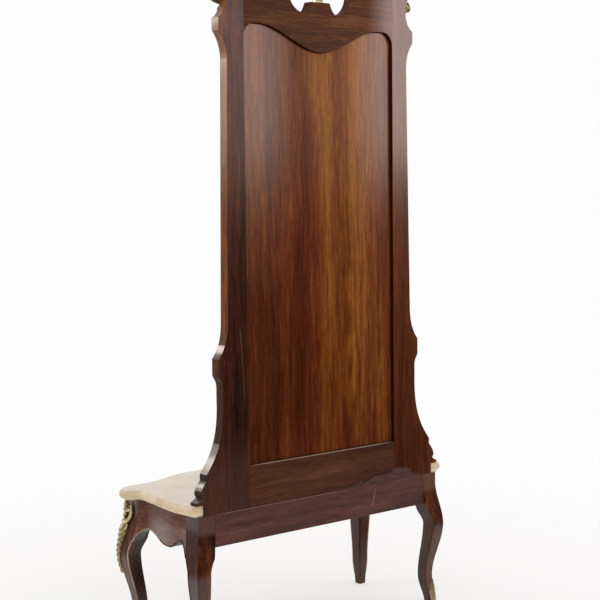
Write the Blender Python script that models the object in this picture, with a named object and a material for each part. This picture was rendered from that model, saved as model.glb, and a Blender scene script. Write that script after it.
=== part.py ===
"""Console table with a tall framed mirror standing on its back edge.

A low carcase on four cabriole legs carries a marble slab.  The slab is notched at the back, and the
mirror's frame passes through the notch and stands on the plain back rail.  The room side faces -Y,
the plain back +Y, and left and right are those of someone who looks into the mirror (+X is right).
All sizes are in metres.  The origin is on the floor, in the middle of the plan.
"""
from math import cos
from math import pi
from math import sin
from math import sqrt

import bmesh
import bpy

# Carcase
TABLE_HEIGHT = 0.416          # floor to the top of the rails, where the marble and the mirror stand
LEG_REACH = 0.460             # middle plane to the outer face of a leg's post
LEG_DEPTH = 0.350             # back face of the rear posts to the front face of the front posts
POST_SIDE = 0.058
ARRIS_RADIUS = 0.006          # rounding of a leg's four arrises
TOE_CHAMFER = 0.003           # bevel round the sole
POST_STRAIGHT = 0.031         # length of the post below the marble before the knee swells
BRACKET_DROP = 0.084          # length of the post before the leg starts to taper
KNEE_HEIGHT = 0.257
KNEE_SHIFT = 0.0235           # how far the outer arris bows out along the diagonal
KNEE_SIDE = 0.045
ANKLE_HEIGHT = 0.094
ANKLE_SHIFT = -0.0135
ANKLE_SIDE = 0.030
TOE_SHIFT = -0.002
TOE_SIDE = 0.027
BACK_RAIL_HEIGHT = 0.0915
BACK_RAIL_THICKNESS = 0.030
APRON_THICKNESS = 0.026
SIDE_BOW = 0.005              # swell and hollow of the side aprons in plan
FRONT_SWELL = 0.046           # how far the front apron bows out in the middle
FRONT_SWELL_FLAT = 0.170      # half width of the bow's crown
FRONT_SWELL_REACH = 0.370     # where the bow dies into the straight end
FRONT_CROWN = 0.004           # extra bow of the crown itself
APRON_ARCH = 0.071            # drop of the arches next to the front legs
SIDE_REAR_ARCH = 0.080        # drop of the side apron's arch next to the rear leg
SIDE_LOBE = 0.102
FRONT_LOBE = 0.110
FRONT_SIDE_LOBE = 0.088
APRON_END = 0.104             # drop of an apron where it meets the leg
TENON_THICKNESS = 0.010
RAIL_TENON_LENGTH = 0.030
APRON_TENON_LENGTH = 0.024
APRON_TENON_TOP = 0.012
APRON_TENON_HEIGHT = 0.045
BEARER_WIDTH = 0.040
BEARER_HEIGHT = 0.026
BEARER_OFFSET = 0.170         # middle plane to the middle of a bearer
BEARER_TENON = 0.010
GLUE_BLOCK_SIDE = 0.022
GLUE_BLOCK_HEIGHT = 0.050
GLUE_BLOCK_DROP = 0.008

# Marble slab
MARBLE_THICKNESS = 0.030
MARBLE_OVERHANG = 0.014       # outer face of the posts to the nose of the edge at the back corners
MARBLE_SWELL = 0.012          # how much wider the swell is than the back corners
MARBLE_SWELL_DEPTH = 0.095    # back plane to the widest place of the swell
MARBLE_HOLLOW = 0.001
MARBLE_HOLLOW_DEPTH = 0.225
MARBLE_FLARE = 0.020          # how much wider the front corners are than the back corners
MARBLE_CORNER_SIDE = 0.033    # length of the rounded front corners along the side
MARBLE_CORNER_FRONT = 0.042   # and along the front
MARBLE_CORNER_DEPTH = 0.3575  # back plane to the nose at the front corners
MARBLE_DEPTH = 0.428          # back plane to the nose at the middle of the front
MARBLE_CROWN_HALF = 0.190
MARBLE_CROWN = 0.006          # bow of the crown itself
MARBLE_SHOULDER_HALF = 0.400
MARBLE_EDGE_INSET = 0.013     # how far the underside sits in from the nose

# Mirror frame, heights above the top of the back rail
FRAME_THICKNESS = 0.032
OPENING_HALF = 0.280
OPENING_BOTTOM = 0.119
OPENING_CORNER_WIDTH = 0.036
OPENING_CORNER_BASE = 1.300
OPENING_CORNER_HEIGHT = 0.040
OPENING_DIP = 0.070           # depth of the wave's middle below its crests
LIP_WIDTH = 0.012             # overlap of the frame in front of the glass
LIP_THICKNESS = 0.010
LIP_CHAMFER = 0.007
GLASS_THICKNESS = 0.004
PANEL_THICKNESS = 0.0065
TONGUE_INSET = 0.030          # outer face of the posts to the side of the tongue in the marble's notch
FOOT_SPREAD = 0.033           # how far the moulded feet of the stiles spread past the tongue
FOOT_FILLET = 0.008
FOOT_GROOVE = 0.0205          # how far the groove above the fillet is cut in
FOOT_GROOVE_HEIGHT = 0.016
FOOT_TORUS = 0.0085           # how far the torus sits in from the fillet
FOOT_TORUS_HEIGHT = 0.040
FOOT_NECK = 0.0325            # how far the neck above the torus sits in from the fillet
FOOT_NECK_HEIGHT = 0.017
WAIST_HALF = 0.3688           # half width above the spreading base
WAIST_HEIGHT = 0.310
LOWER_EAR_HALF = 0.382
LOWER_EAR_BOTTOM = 0.378
LOWER_EAR_HEIGHT = 0.047
LOWER_EAR_COVE = 0.100        # height of the cove above the lower ear
SHAFT_HALF_LOW = 0.350        # half width of the straight stile at its foot
SHAFT_HALF_HIGH = 0.339
UPPER_EAR_HALF = 0.366
UPPER_EAR_BOTTOM = 1.315
UPPER_EAR_HEIGHT = 0.034
UPPER_EAR_COVE = 0.077        # height of the cove below the upper ear
SHOULDER_NECK_HALF = 0.338
SHOULDER_NECK = 1.400
SHOULDER_HALF = 0.360
SHOULDER_BOTTOM = 1.458
SHOULDER_FILLET = 0.012
SCROLL_HALF = 0.135           # middle plane to the centre of a crest scroll
SCROLL_TOP = 1.612
SCROLL_RADIUS = 0.030
CUT_HALF = 0.1165             # outer side of the drop-shaped cuts
CUT_LOW_HALF = 0.064          # lowest place of the cuts
CUT_BOTTOM = 1.3795
CUT_SHOULDER = 1.430
PEDESTAL_HALF = 0.035
PEDESTAL_TOP = 1.4115
FRAME_TENON_LENGTH = 0.040
TOP_TENON_BOTTOM = 1.370
TOP_TENON_HEIGHT = 0.090
BOTTOM_TENON_BOTTOM = 0.034
BOTTOM_TENON_HEIGHT = 0.050
DOWEL_RADIUS = 0.005
DOWEL_LENGTH = 0.044

# Gilt bronze
SHOE_THICKNESS = 0.0026
SHOE_RIM = 0.040              # height up to which a shoe covers the outer faces of the foot
SHOE_TOP = 0.079              # height of the tip of its leaf on the outer arris
MOUNT_TIP = 0.009             # reach of a mount's tip along each face from the arris
KNEE_MOUNT_TOP = 0.408
KNEE_MOUNT_BOTTOM = 0.206
KNEE_MOUNT_WIDTH = 0.030      # reach of the mount along each face from the arris
KNEE_MOUNT_THICKNESS = 0.0045
APRON_MOUNT_WIDTH = 0.100
APRON_MOUNT_HEIGHT = 0.070
APRON_MOUNT_THICKNESS = 0.010
CORNER_MOUNT_LENGTH = 0.110
CORNER_MOUNT_WIDTH = 0.058
CORNER_MOUNT_THICKNESS = 0.010
ORNAMENT_HEIGHT = 0.185
ORNAMENT_WIDTH = 0.150
ORNAMENT_THICKNESS = 0.020
ORNAMENT_STEM_HALF = 0.015

# Fits
GAP = 0.0003                  # seats, shoulders and tenons
PANEL_GAP = 0.0006            # glass and panel in their rebate
MOUNT_GAP = 0.0005            # bronze over wood

# Facets
LEG_CORNER_POINTS = 3
LEG_RING_STEP = 0.014
EDGE_STEPS = 6
SIDE_APRON_STEPS = 26
FRONT_APRON_STEPS = 48

KNEE_PROJECTION = KNEE_SHIFT / sqrt(2.0)
BACK = (MARBLE_DEPTH - KNEE_PROJECTION) / 2.0   # Y of the back plane of rails, frame and rear posts
MARBLE_BACK_REACH = LEG_REACH + MARBLE_OVERHANG
MARBLE_FRONT_REACH = MARBLE_BACK_REACH + MARBLE_FLARE
TONGUE_HALF = LEG_REACH - TONGUE_INSET
BASE_HALF = TONGUE_HALF + FOOT_SPREAD
FRAME_BASE = TABLE_HEIGHT + GAP
FRAME_FRONT = BACK - FRAME_THICKNESS
REBATE_FACE = FRAME_FRONT + LIP_THICKNESS


def smooth(t):
    """S-shaped ease from 0 to 1."""
    return t * t * (3.0 - 2.0 * t)


def wave(turns, x):
    """Value at x of the curve that eases through the turning points, each a pair of place and value."""
    if x <= turns[0][0]:
        return turns[0][1]
    for (x0, v0), (x1, v1) in zip(turns, turns[1:]):
        if x <= x1:
            return v0 + (v1 - v0) * smooth((x - x0) / (x1 - x0))
    return turns[-1][1]


def spaced(start, end, count):
    """Evenly spaced values from start to end, both included, with count steps."""
    return [start + (end - start) * i / count for i in range(count + 1)]


def sweep(start, end, leave, arrive, steps=EDGE_STEPS):
    """Points of a curve between two points, without its first point.

    leave and arrive place the curve's two handles, as shares of the way from start to end in each axis.
    """
    handles = [tuple(a + (b - a) * share for a, b, share in zip(start, end, shares))
               for shares in (leave, arrive)]
    controls = (start, *handles, end)
    points = []
    for t in spaced(0.0, 1.0, steps)[1:]:
        weights = ((1 - t) ** 3, 3 * t * (1 - t) ** 2, 3 * t * t * (1 - t), t ** 3)
        points.append(tuple(sum(w * p[k] for w, p in zip(weights, controls)) for k in (0, 1)))
    return points


def make_material(name, colour, roughness, metallic):
    """A plain shaded material in linear colour."""
    material = bpy.data.materials.new(name)
    material.use_nodes = True
    shader = material.node_tree.nodes["Principled BSDF"]
    shader.inputs["Base Color"].default_value = (*colour, 1.0)
    shader.inputs["Roughness"].default_value = roughness
    shader.inputs["Metallic"].default_value = metallic
    return material


def make_object(name, points, faces, material, smooth_angle=0.6):
    """A named object from points and faces, with its faces turned outwards."""
    mesh = bpy.data.meshes.new(name)
    mesh.from_pydata(points, [], faces)
    shape = bmesh.new()
    shape.from_mesh(mesh)
    bmesh.ops.recalc_face_normals(shape, faces=shape.faces)
    shape.to_mesh(mesh)
    shape.free()
    mesh.materials.append(material)
    mesh.shade_smooth()
    mesh.set_sharp_from_angle(angle=smooth_angle)
    thing = bpy.data.objects.new(name, mesh)
    bpy.context.collection.objects.link(thing)
    return thing


def make_loft(name, rings, material, banded_ends=False):
    """A closed solid through rings with the same number of points, capped at both ends.

    A banded end is a strip of quads between the ring's first half and its second half, run backwards.
    """
    count = len(rings[0])
    points = [point for ring in rings for point in ring]
    faces = []
    for start in (0, len(points) - count):
        if banded_ends:
            faces += [(start + i, start + i + 1, start + count - 2 - i, start + count - 1 - i)
                      for i in range(count // 2 - 1)]
        else:
            faces.append(tuple(range(start, start + count)))
    for level in range(len(rings) - 1):
        for i in range(count):
            j = (i + 1) % count
            low = level * count
            faces.append((low + i, low + j, low + count + j, low + count + i))
    return make_object(name, points, faces, material)


def make_slab(name, outline, y_front, y_back, material):
    """A flat board with an outline in X and Z, between two planes of constant Y."""
    rings = [[(x, y, z) for x, z in outline] for y in (y_front, y_back)]
    return make_loft(name, rings, material)


def make_boxes(name, boxes, material):
    """One object that holds a box for each pair of corners."""
    points = []
    faces = []
    for low, high in boxes:
        start = len(points)
        points += [(x, y, z) for x in (low[0], high[0]) for y in (low[1], high[1]) for z in (low[2], high[2])]
        sides = ((0, 1, 3, 2), (4, 6, 7, 5), (0, 4, 5, 1), (2, 3, 7, 6), (0, 2, 6, 4), (1, 5, 7, 3))
        faces += [tuple(start + i for i in side) for side in sides]
    return make_object(name, points, faces, material)


def make_rods(name, places, radius, z_low, z_high, material):
    """Upright round rods in one object."""
    sides = 12
    points = []
    faces = []
    for x, y in places:
        start = len(points)
        for z in (z_low, z_high):
            points += [(x + radius * cos(2 * pi * k / sides), y + radius * sin(2 * pi * k / sides), z)
                       for k in range(sides)]
        faces += [tuple(start + k for k in range(sides)), tuple(start + sides + k for k in range(sides))]
        for k in range(sides):
            nxt = (k + 1) % sides
            faces.append((start + k, start + nxt, start + sides + nxt, start + sides + k))
    return make_object(name, points, faces, material)


def combine(target, tool, operation):
    """Cut a tool from a piece or join it to the piece, and keep the tool as a hidden guide."""
    modifier = target.modifiers.new(tool.name, "BOOLEAN")
    modifier.operation = operation
    modifier.solver = "EXACT"
    modifier.object = tool
    tool.hide_render = True
    tool.display_type = "WIRE"


def grown(boxes, amount):
    """The boxes, larger by an amount on every side."""
    return [(tuple(v - amount for v in low), tuple(v + amount for v in high)) for low, high in boxes]


def corner_box(side, x_range, y_range, z_range):
    """A box on the given side of the middle plane, as a pair of corners."""
    xs = sorted((side * x_range[0], side * x_range[1]))
    return (xs[0], min(y_range), min(z_range)), (xs[1], max(y_range), max(z_range))


def leg_shift(z):
    """Outward shift of a leg's outer arris along the diagonal, at height z."""
    return wave(((0.0, TOE_SHIFT), (ANKLE_HEIGHT, ANKLE_SHIFT), (KNEE_HEIGHT, KNEE_SHIFT),
                 (TABLE_HEIGHT - POST_STRAIGHT, 0.0)), z)


def leg_side(z):
    """Side of a leg's square section at height z."""
    return wave(((0.0, TOE_SIDE), (ANKLE_HEIGHT, ANKLE_SIDE), (KNEE_HEIGHT, KNEE_SIDE),
                 (TABLE_HEIGHT - BRACKET_DROP, POST_SIDE)), z)


def leg_bow(z):
    """How far a leg's outer face stands out from its post at height z."""
    return leg_shift(z) / sqrt(2.0)


def leg_heights():
    """Heights of the rings of a leg, closest where the leg bends."""
    stops = (0.0, TOE_CHAMFER, ANKLE_HEIGHT, KNEE_HEIGHT, TABLE_HEIGHT - BRACKET_DROP,
             TABLE_HEIGHT - POST_STRAIGHT, TABLE_HEIGHT)
    heights = [stops[0]]
    for low, high in zip(stops, stops[1:]):
        heights += spaced(low, high, max(1, round((high - low) / LEG_RING_STEP)))[1:]
    return heights


def leg_point(place, z, p, q):
    """World point of a leg's section: p and q run outwards from the section's middle."""
    side, end = place
    middle = LEG_REACH + leg_bow(z) - leg_side(z) / 2.0
    x = side * (middle + p)
    if end == "rear":
        y = BACK + leg_bow(z) - leg_side(z) / 2.0 + q
    else:
        y = BACK - LEG_DEPTH - leg_bow(z) + leg_side(z) / 2.0 - q
    return x, y, z


def corner_angles():
    """Angles of the points that round one arris."""
    return spaced(0.0, pi / 2.0, LEG_CORNER_POINTS - 1)


def leg_ring(place, z, offset=0.0):
    """Ring of a leg's rounded square section, larger by an offset, with the outer arris first."""
    half = leg_side(z) / 2.0
    ring = []
    for turn, (sp, sq) in enumerate(((1, 1), (-1, 1), (-1, -1), (1, -1))):
        for angle in corner_angles():
            around = angle + turn * pi / 2.0
            p = sp * (half - ARRIS_RADIUS) + (ARRIS_RADIUS + offset) * cos(around)
            q = sq * (half - ARRIS_RADIUS) + (ARRIS_RADIUS + offset) * sin(around)
            ring.append(leg_point(place, z, p, q))
    return ring


def leg_place_name(place):
    """Name of a leg's corner, such as rear_left."""
    side, end = place
    return f"{end}_{'right' if side > 0 else 'left'}"


def tenon_levels():
    """Lower and upper side of the carcase's tenons."""
    top = TABLE_HEIGHT - APRON_TENON_TOP
    return top - APRON_TENON_HEIGHT, top


def back_rail_tenons():
    """Tenons of the back rail, in the rear posts."""
    inner = LEG_REACH - POST_SIDE
    middle = BACK - BACK_RAIL_THICKNESS / 2.0
    return {side: corner_box(side, (inner, inner + RAIL_TENON_LENGTH),
                             (middle - TENON_THICKNESS / 2.0, middle + TENON_THICKNESS / 2.0), tenon_levels())
            for side in (-1, 1)}


def side_apron_inner():
    """Distance of a side apron's flat inner face from the middle plane."""
    return LEG_REACH - APRON_THICKNESS


def side_apron_tenons(side):
    """Tenons of a side apron, in the rear and the front post."""
    x_range = (side_apron_inner() + APRON_THICKNESS / 4.0,
               side_apron_inner() + APRON_THICKNESS / 4.0 + TENON_THICKNESS)
    z_range = tenon_levels()
    rear_face = BACK - POST_SIDE
    front_face = BACK - LEG_DEPTH + POST_SIDE
    return {"rear": corner_box(side, x_range, (rear_face, rear_face + APRON_TENON_LENGTH), z_range),
            "front": corner_box(side, x_range, (front_face - APRON_TENON_LENGTH, front_face), z_range)}


def front_apron_tenons():
    """Tenons of the front apron, in the front posts."""
    inner = LEG_REACH - POST_SIDE
    middle = BACK - LEG_DEPTH + APRON_THICKNESS / 2.0
    return {side: corner_box(side, (inner, inner + RAIL_TENON_LENGTH),
                             (middle - TENON_THICKNESS / 2.0, middle + TENON_THICKNESS / 2.0), tenon_levels())
            for side in (-1, 1)}


def make_leg(place, wood):
    """A cabriole leg with mortises for the rail and the apron that meet in its post."""
    name = leg_place_name(place)
    side, end = place
    rings = [leg_ring(place, 0.0, -TOE_CHAMFER)] + [leg_ring(place, z) for z in leg_heights()[1:]]
    leg = make_loft(f"{name}_leg", rings, wood)
    cross = back_rail_tenons()[side] if end == "rear" else front_apron_tenons()[side]
    mortises = make_boxes(f"{name}_mortises", grown([cross, side_apron_tenons(side)[end]], GAP), wood)
    combine(leg, mortises, "DIFFERENCE")


def make_arris_mount(name, place, span, reaches, thickness, bronze):
    """A cast mount bent over a leg's outer arris, between two heights.

    reaches lists the turning points of its reach along both outer faces, from the lowest to the highest.
    """
    layers = []
    for z in leg_heights():
        if not span[0] <= z <= span[1]:
            continue
        half = leg_side(z) / 2.0
        reach = min(wave(reaches, z), leg_side(z) - ARRIS_RADIUS)
        flats = spaced(reach, ARRIS_RADIUS, 3)[:-1]
        rows = []
        for offset, crown in ((MOUNT_GAP, 0.0), (MOUNT_GAP + thickness / 2.0, thickness / 2.0)):
            row = [(half + offset, half - flat) for flat in flats]
            radius = ARRIS_RADIUS + offset + crown
            centre = half - ARRIS_RADIUS
            row += [(centre + radius * cos(angle), centre + radius * sin(angle)) for angle in corner_angles()]
            row += [(half - flat, half + offset) for flat in reversed(flats)]
            rows.append([leg_point(place, z, p, q) for p, q in row])
        layers.append(rows[0] + rows[1][::-1])
    make_loft(name, layers, bronze)


def make_shoe(place, bronze):
    """A cast shoe on the two outer faces of a foot, with a leaf that climbs the outer arris."""
    reaches = ((SHOE_RIM, TOE_SIDE), (SHOE_TOP, MOUNT_TIP))
    make_arris_mount(f"{leg_place_name(place)}_shoe", place, (TOE_CHAMFER, SHOE_TOP), reaches,
                     SHOE_THICKNESS, bronze)


def make_knee_mount(place, bronze):
    """A cast mount that wraps a front knee and tapers to a leaf tip below it."""
    middle = (KNEE_MOUNT_BOTTOM + KNEE_MOUNT_TOP) / 2.0
    reaches = ((KNEE_MOUNT_BOTTOM, MOUNT_TIP), (middle, KNEE_MOUNT_WIDTH * 0.55),
               (KNEE_MOUNT_TOP, KNEE_MOUNT_WIDTH))
    make_arris_mount(f"{leg_place_name(place)}_knee_mount", place, (KNEE_MOUNT_BOTTOM, KNEE_MOUNT_TOP),
                     reaches, KNEE_MOUNT_THICKNESS, bronze)


def make_back_rail(wood, holes):
    """The plain rail between the rear legs, which carries the mirror."""
    inner = LEG_REACH - POST_SIDE

    def end(z):
        return inner + leg_bow(z) - GAP

    low = TABLE_HEIGHT - BACK_RAIL_HEIGHT
    heights = spaced(low, TABLE_HEIGHT, 5)
    outline = [(end(z), z) for z in heights] + [(-end(z), z) for z in reversed(heights)]
    rail = make_slab("back_rail", outline, BACK - BACK_RAIL_THICKNESS, BACK, wood)
    inset = RAIL_TENON_LENGTH / 3.0
    tenons = [corner_box(side, (inner - inset, inner + RAIL_TENON_LENGTH - GAP), (box[0][1], box[1][1]),
                         (box[0][2], box[1][2])) for side, box in back_rail_tenons().items()]
    combine(rail, make_boxes("back_rail_tenon_guides", tenons, wood), "UNION")
    combine(rail, make_boxes("bearer_mortise_guides", bearer_mortises("rear"), wood), "DIFFERENCE")
    combine(rail, holes, "DIFFERENCE")


def make_bowed_board(name, ends, drops, face, steps, wood):
    """An apron with a bowed outer face, a flat top and a waved lower edge.

    ends gives the start and the end along the apron at a height, drops the lower edge's turning points
    along it, and face the outer and the inner point at a place along it and a height.
    """
    rows = 6
    first, last = ends(TABLE_HEIGHT)
    layers = []
    for share in spaced(0.0, 1.0, steps):
        drop = wave(drops, first + (last - first) * share)
        outer = []
        inner = []
        for z in spaced(TABLE_HEIGHT, TABLE_HEIGHT - drop, rows):
            start, end = ends(z)
            out_point, in_point = face(start + (end - start) * share, z)
            outer.append(out_point)
            inner.append(in_point)
        layers.append(outer + inner[::-1])
    return make_loft(name, layers, wood, banded_ends=True)


def make_side_apron(side, wood):
    """A side apron that swells near the back and hollows near the front leg."""
    rear = POST_SIDE
    front = LEG_DEPTH - POST_SIDE
    third = (front - rear) / 3.0

    def ends(z):
        return rear - leg_bow(z) + GAP, front + leg_bow(z) - GAP

    def face(depth, z):
        bow = wave(((rear, 0.4 * SIDE_BOW), (rear + third / 2.0, SIDE_BOW), (front - third / 1.3, -SIDE_BOW),
                    (front, -0.3 * SIDE_BOW)), depth)
        return ((side * (LEG_REACH - GAP + bow + leg_bow(z)), BACK - depth, z),
                (side * side_apron_inner(), BACK - depth, z))

    length = front - rear
    drops = ((rear, APRON_END), (rear + 0.14 * length, SIDE_REAR_ARCH), (rear + 0.42 * length, SIDE_LOBE),
             (rear + 0.79 * length, APRON_ARCH), (front, APRON_END))
    name = "right_side_apron" if side > 0 else "left_side_apron"
    apron = make_bowed_board(name, ends, drops, face, SIDE_APRON_STEPS, wood)
    inset = APRON_TENON_LENGTH / 3.0
    guides = []
    for end, (low, high) in side_apron_tenons(side).items():
        y_low = low[1] - inset if end == "rear" else low[1] + GAP
        y_high = high[1] + inset if end == "front" else high[1] - GAP
        guides.append(corner_box(side, (abs(low[0]), abs(high[0])), (y_low, y_high), (low[2], high[2])))
    combine(apron, make_boxes(f"{name}_tenon_guides", guides, wood), "UNION")


def front_apron_depth(x):
    """Distance of the front apron's outer face from the back plane at a place along it."""
    turns = ((FRONT_SWELL_FLAT, FRONT_SWELL), (FRONT_SWELL_REACH, 0.0))
    crown = FRONT_CROWN * (1.0 - min(1.0, abs(x) / FRONT_SWELL_FLAT) ** 2)
    return LEG_DEPTH - GAP + wave(turns, abs(x)) + crown


def front_apron_back(x_low, x_high):
    """Points of the front apron's faceted inner face between two places along it, in X and Y."""
    end = LEG_REACH - POST_SIDE - GAP
    stations = spaced(-end, end, FRONT_APRON_STEPS)
    depths = [front_apron_depth(x) for x in stations]
    places = [x_low] + [x for x in stations if x_low < x < x_high] + [x_high]
    points = []
    for x in places:
        for x0, x1, d0, d1 in zip(stations, stations[1:], depths, depths[1:]):
            if x0 <= x <= x1:
                depth = d0 + (d1 - d0) * (x - x0) / (x1 - x0)
        points.append((x, BACK - depth + APRON_THICKNESS))
    return points


def make_front_apron(wood):
    """The serpentine front apron with its middle lobe."""
    inner = LEG_REACH - POST_SIDE

    def ends(z):
        return -inner - leg_bow(z) + GAP, inner + leg_bow(z) - GAP

    def face(x, z):
        depth = front_apron_depth(x)
        return (x, BACK - depth - leg_bow(z), z), (x, BACK - depth + APRON_THICKNESS, z)

    half = ((0.0, FRONT_LOBE), (0.29 * inner, SIDE_REAR_ARCH), (0.48 * inner, FRONT_SIDE_LOBE),
            (0.82 * inner, APRON_ARCH), (inner, APRON_END))
    drops = [(-x, drop) for x, drop in reversed(half)] + list(half[1:])
    apron = make_bowed_board("front_apron", ends, drops, face, FRONT_APRON_STEPS, wood)
    inset = RAIL_TENON_LENGTH / 3.0
    tenons = [corner_box(side, (inner - inset, inner + RAIL_TENON_LENGTH - GAP), (box[0][1], box[1][1]),
                         (box[0][2], box[1][2])) for side, box in front_apron_tenons().items()]
    combine(apron, make_boxes("front_apron_tenon_guides", tenons, wood), "UNION")
    combine(apron, make_boxes("front_bearer_mortise_guides", bearer_mortises("front"), wood), "DIFFERENCE")


def bearer_tenons(root):
    """Stub tenons of the two bearers at each end, which start a root's length inside the bearer."""
    boxes = {"rear": [], "front": []}
    x_range = (BEARER_OFFSET - BEARER_WIDTH * 0.3, BEARER_OFFSET + BEARER_WIDTH * 0.3)
    z_range = (TABLE_HEIGHT - BEARER_HEIGHT * 0.8, TABLE_HEIGHT - BEARER_HEIGHT * 0.3)
    rear_face = BACK - BACK_RAIL_THICKNESS
    front_face = BACK - front_apron_depth(BEARER_OFFSET) + APRON_THICKNESS
    for side in (-1, 1):
        rear_range = (rear_face - root, rear_face + BEARER_TENON)
        front_range = (front_face - BEARER_TENON, front_face + root)
        boxes["rear"].append(corner_box(side, x_range, rear_range, z_range))
        boxes["front"].append(corner_box(side, x_range, front_range, z_range))
    return boxes


def bearer_mortises(end):
    """Mortises for the bearers' tenons, open towards the bearers."""
    return grown(bearer_tenons(BEARER_TENON)[end], GAP)


def make_bearers(wood):
    """Two bearers from the back rail to the front apron, which carry the marble."""
    tenons = bearer_tenons(BEARER_TENON)
    rear_face = BACK - BACK_RAIL_THICKNESS - GAP
    for index, side in enumerate((-1, 1)):
        front = front_apron_back(BEARER_OFFSET - BEARER_WIDTH / 2.0, BEARER_OFFSET + BEARER_WIDTH / 2.0)
        plan = [(side * front[0][0], rear_face), (side * front[-1][0], rear_face)]
        plan += [(side * x, y + 2.0 * GAP) for x, y in reversed(front)]
        rings = [[(x, y, z) for x, y in plan] for z in (TABLE_HEIGHT - BEARER_HEIGHT, TABLE_HEIGHT)]
        name = "right_bearer" if side > 0 else "left_bearer"
        bearer = make_loft(name, rings, wood)
        guides = [tenons["rear"][index], tenons["front"][index]]
        combine(bearer, make_boxes(f"{name}_tenon_guides", guides, wood), "UNION")


def make_glue_blocks(wood):
    """Triangular glue blocks in the angles between the posts and the rails or aprons."""
    inner = LEG_REACH - POST_SIDE - GAP
    apron = side_apron_inner() - GAP
    leg = GLUE_BLOCK_SIDE
    rear_rail = BACK - BACK_RAIL_THICKNESS - GAP
    rear_post = BACK - POST_SIDE - GAP
    front_post = BACK - LEG_DEPTH + POST_SIDE + GAP
    front_board = BACK - LEG_DEPTH + APRON_THICKNESS + 2.0 * GAP
    corners = {
        "rear_rail": ((inner, rear_rail), (inner - leg, rear_rail), (inner, rear_rail - leg)),
        "rear_side": ((apron, rear_post), (apron - leg, rear_post), (apron, rear_post - leg)),
        "front_side": ((apron, front_post), (apron - leg, front_post), (apron, front_post + leg)),
        "front_apron": ((inner, front_board), (inner - leg, front_board), (inner, front_board + leg)),
    }
    top = TABLE_HEIGHT - GLUE_BLOCK_DROP
    for side, word in ((-1, "left"), (1, "right")):
        for place, plan in corners.items():
            rings = [[(side * x, y, z) for x, y in plan] for z in (top - GLUE_BLOCK_HEIGHT, top)]
            make_loft(f"{word}_{place}_glue_block", rings, wood)


def marble_nose():
    """Right half of the marble's widest outline, as distances from the middle and back planes."""
    side_end = MARBLE_CORNER_DEPTH - MARBLE_CORNER_SIDE
    turns = ((0.0, MARBLE_BACK_REACH), (MARBLE_SWELL_DEPTH, MARBLE_BACK_REACH + MARBLE_SWELL),
             (MARBLE_HOLLOW_DEPTH, MARBLE_BACK_REACH + MARBLE_HOLLOW), (side_end, MARBLE_FRONT_REACH))
    line = [(wave(turns, depth), depth) for depth in spaced(0.0, side_end, 16)]
    corner_end = (MARBLE_FRONT_REACH - MARBLE_CORNER_FRONT, MARBLE_CORNER_DEPTH)
    line += sweep(line[-1], corner_end, (-0.1, 0.67), (0.48, 1.0))
    front = ((0.0, MARBLE_DEPTH), (MARBLE_CROWN_HALF, MARBLE_DEPTH - MARBLE_CROWN),
             (MARBLE_SHOULDER_HALF, MARBLE_CORNER_DEPTH))
    line += [(x, wave(front, x)) for x in spaced(corner_end[0], 0.0, 18)[1:]]
    return line


def inset_line(line, inset):
    """The half outline, moved in along its normals, still ending on the middle plane."""
    moved = []
    for i, (x, depth) in enumerate(line):
        before = line[max(i - 1, 0)]
        after = line[min(i + 1, len(line) - 1)]
        along = (after[0] - before[0], after[1] - before[1])
        length = sqrt(along[0] ** 2 + along[1] ** 2)
        normal = (along[1] / length, -along[0] / length)
        if i == 0:
            normal = (1.0, 0.0)
        if i == len(line) - 1:
            normal = (0.0, 1.0)
        moved.append((x - inset * normal[0], depth - inset * normal[1]))
    return moved


def make_marble(stone):
    """The slab: a moulded edge on the front and sides, and a notch at the back for the mirror."""
    line = marble_nose()
    notch = TONGUE_HALF + GAP
    notch_depth = FRAME_THICKNESS + GAP
    inset = MARBLE_EDGE_INSET
    profile = ((0.0, inset), (0.20, inset * 0.92), (0.36, inset * 0.42), (0.42, inset * 0.12), (0.62, 0.0),
               (0.80, inset * 0.06), (0.93, inset * 0.28), (1.0, inset * 0.62))
    rings = []
    for share, move in profile:
        z = FRAME_BASE + share * MARBLE_THICKNESS
        half = inset_line(line, move)
        plan = half + [(-x, depth) for x, depth in reversed(half[:-1])]
        plan += [(-notch, 0.0), (-notch, notch_depth), (notch, notch_depth), (notch, 0.0)]
        rings.append([(x, BACK - depth, z) for x, depth in plan])
    make_loft("marble_top", rings, stone)


def opening_top(x):
    """Height of the opening's waved top above the mirror's foot, at a place from the middle plane."""
    crest = OPENING_CORNER_BASE + OPENING_CORNER_HEIGHT
    turns = ((0.0, crest - OPENING_DIP), (OPENING_HALF * 0.80, crest))
    return wave(turns, abs(x))


def opening_line(inset):
    """Right half of the opening's top edge from its side to the middle, moved in by an inset."""
    half = OPENING_HALF - inset
    corner = OPENING_HALF - OPENING_CORNER_WIDTH
    line = []
    for angle in spaced(0.0, pi / 2.0, 5):
        x = corner + OPENING_CORNER_WIDTH * cos(angle)
        z = OPENING_CORNER_BASE + OPENING_CORNER_HEIGHT * sin(angle)
        line.append((x * half / OPENING_HALF, z - inset))
    line += [(x * half / OPENING_HALF, opening_top(x) - inset) for x in spaced(corner, 0.0, 12)[1:]]
    return line


def opening_outline(inset):
    """Outline of the mirror's opening, moved in by an inset, in world X and Z."""
    half = OPENING_HALF - inset
    bottom = OPENING_BOTTOM + inset
    line = opening_line(inset)
    outline = [(half, bottom)] + line + [(-x, z) for x, z in reversed(line[:-1])] + [(-half, bottom)]
    return [(x, FRAME_BASE + z) for x, z in outline]


def crest_height(x):
    """Height of the crest's sweeping upper edge above the mirror's foot."""
    top = SHOULDER_BOTTOM + SHOULDER_FILLET
    return wave(((SCROLL_HALF, SCROLL_TOP), (SHOULDER_HALF, top)), x)


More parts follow.
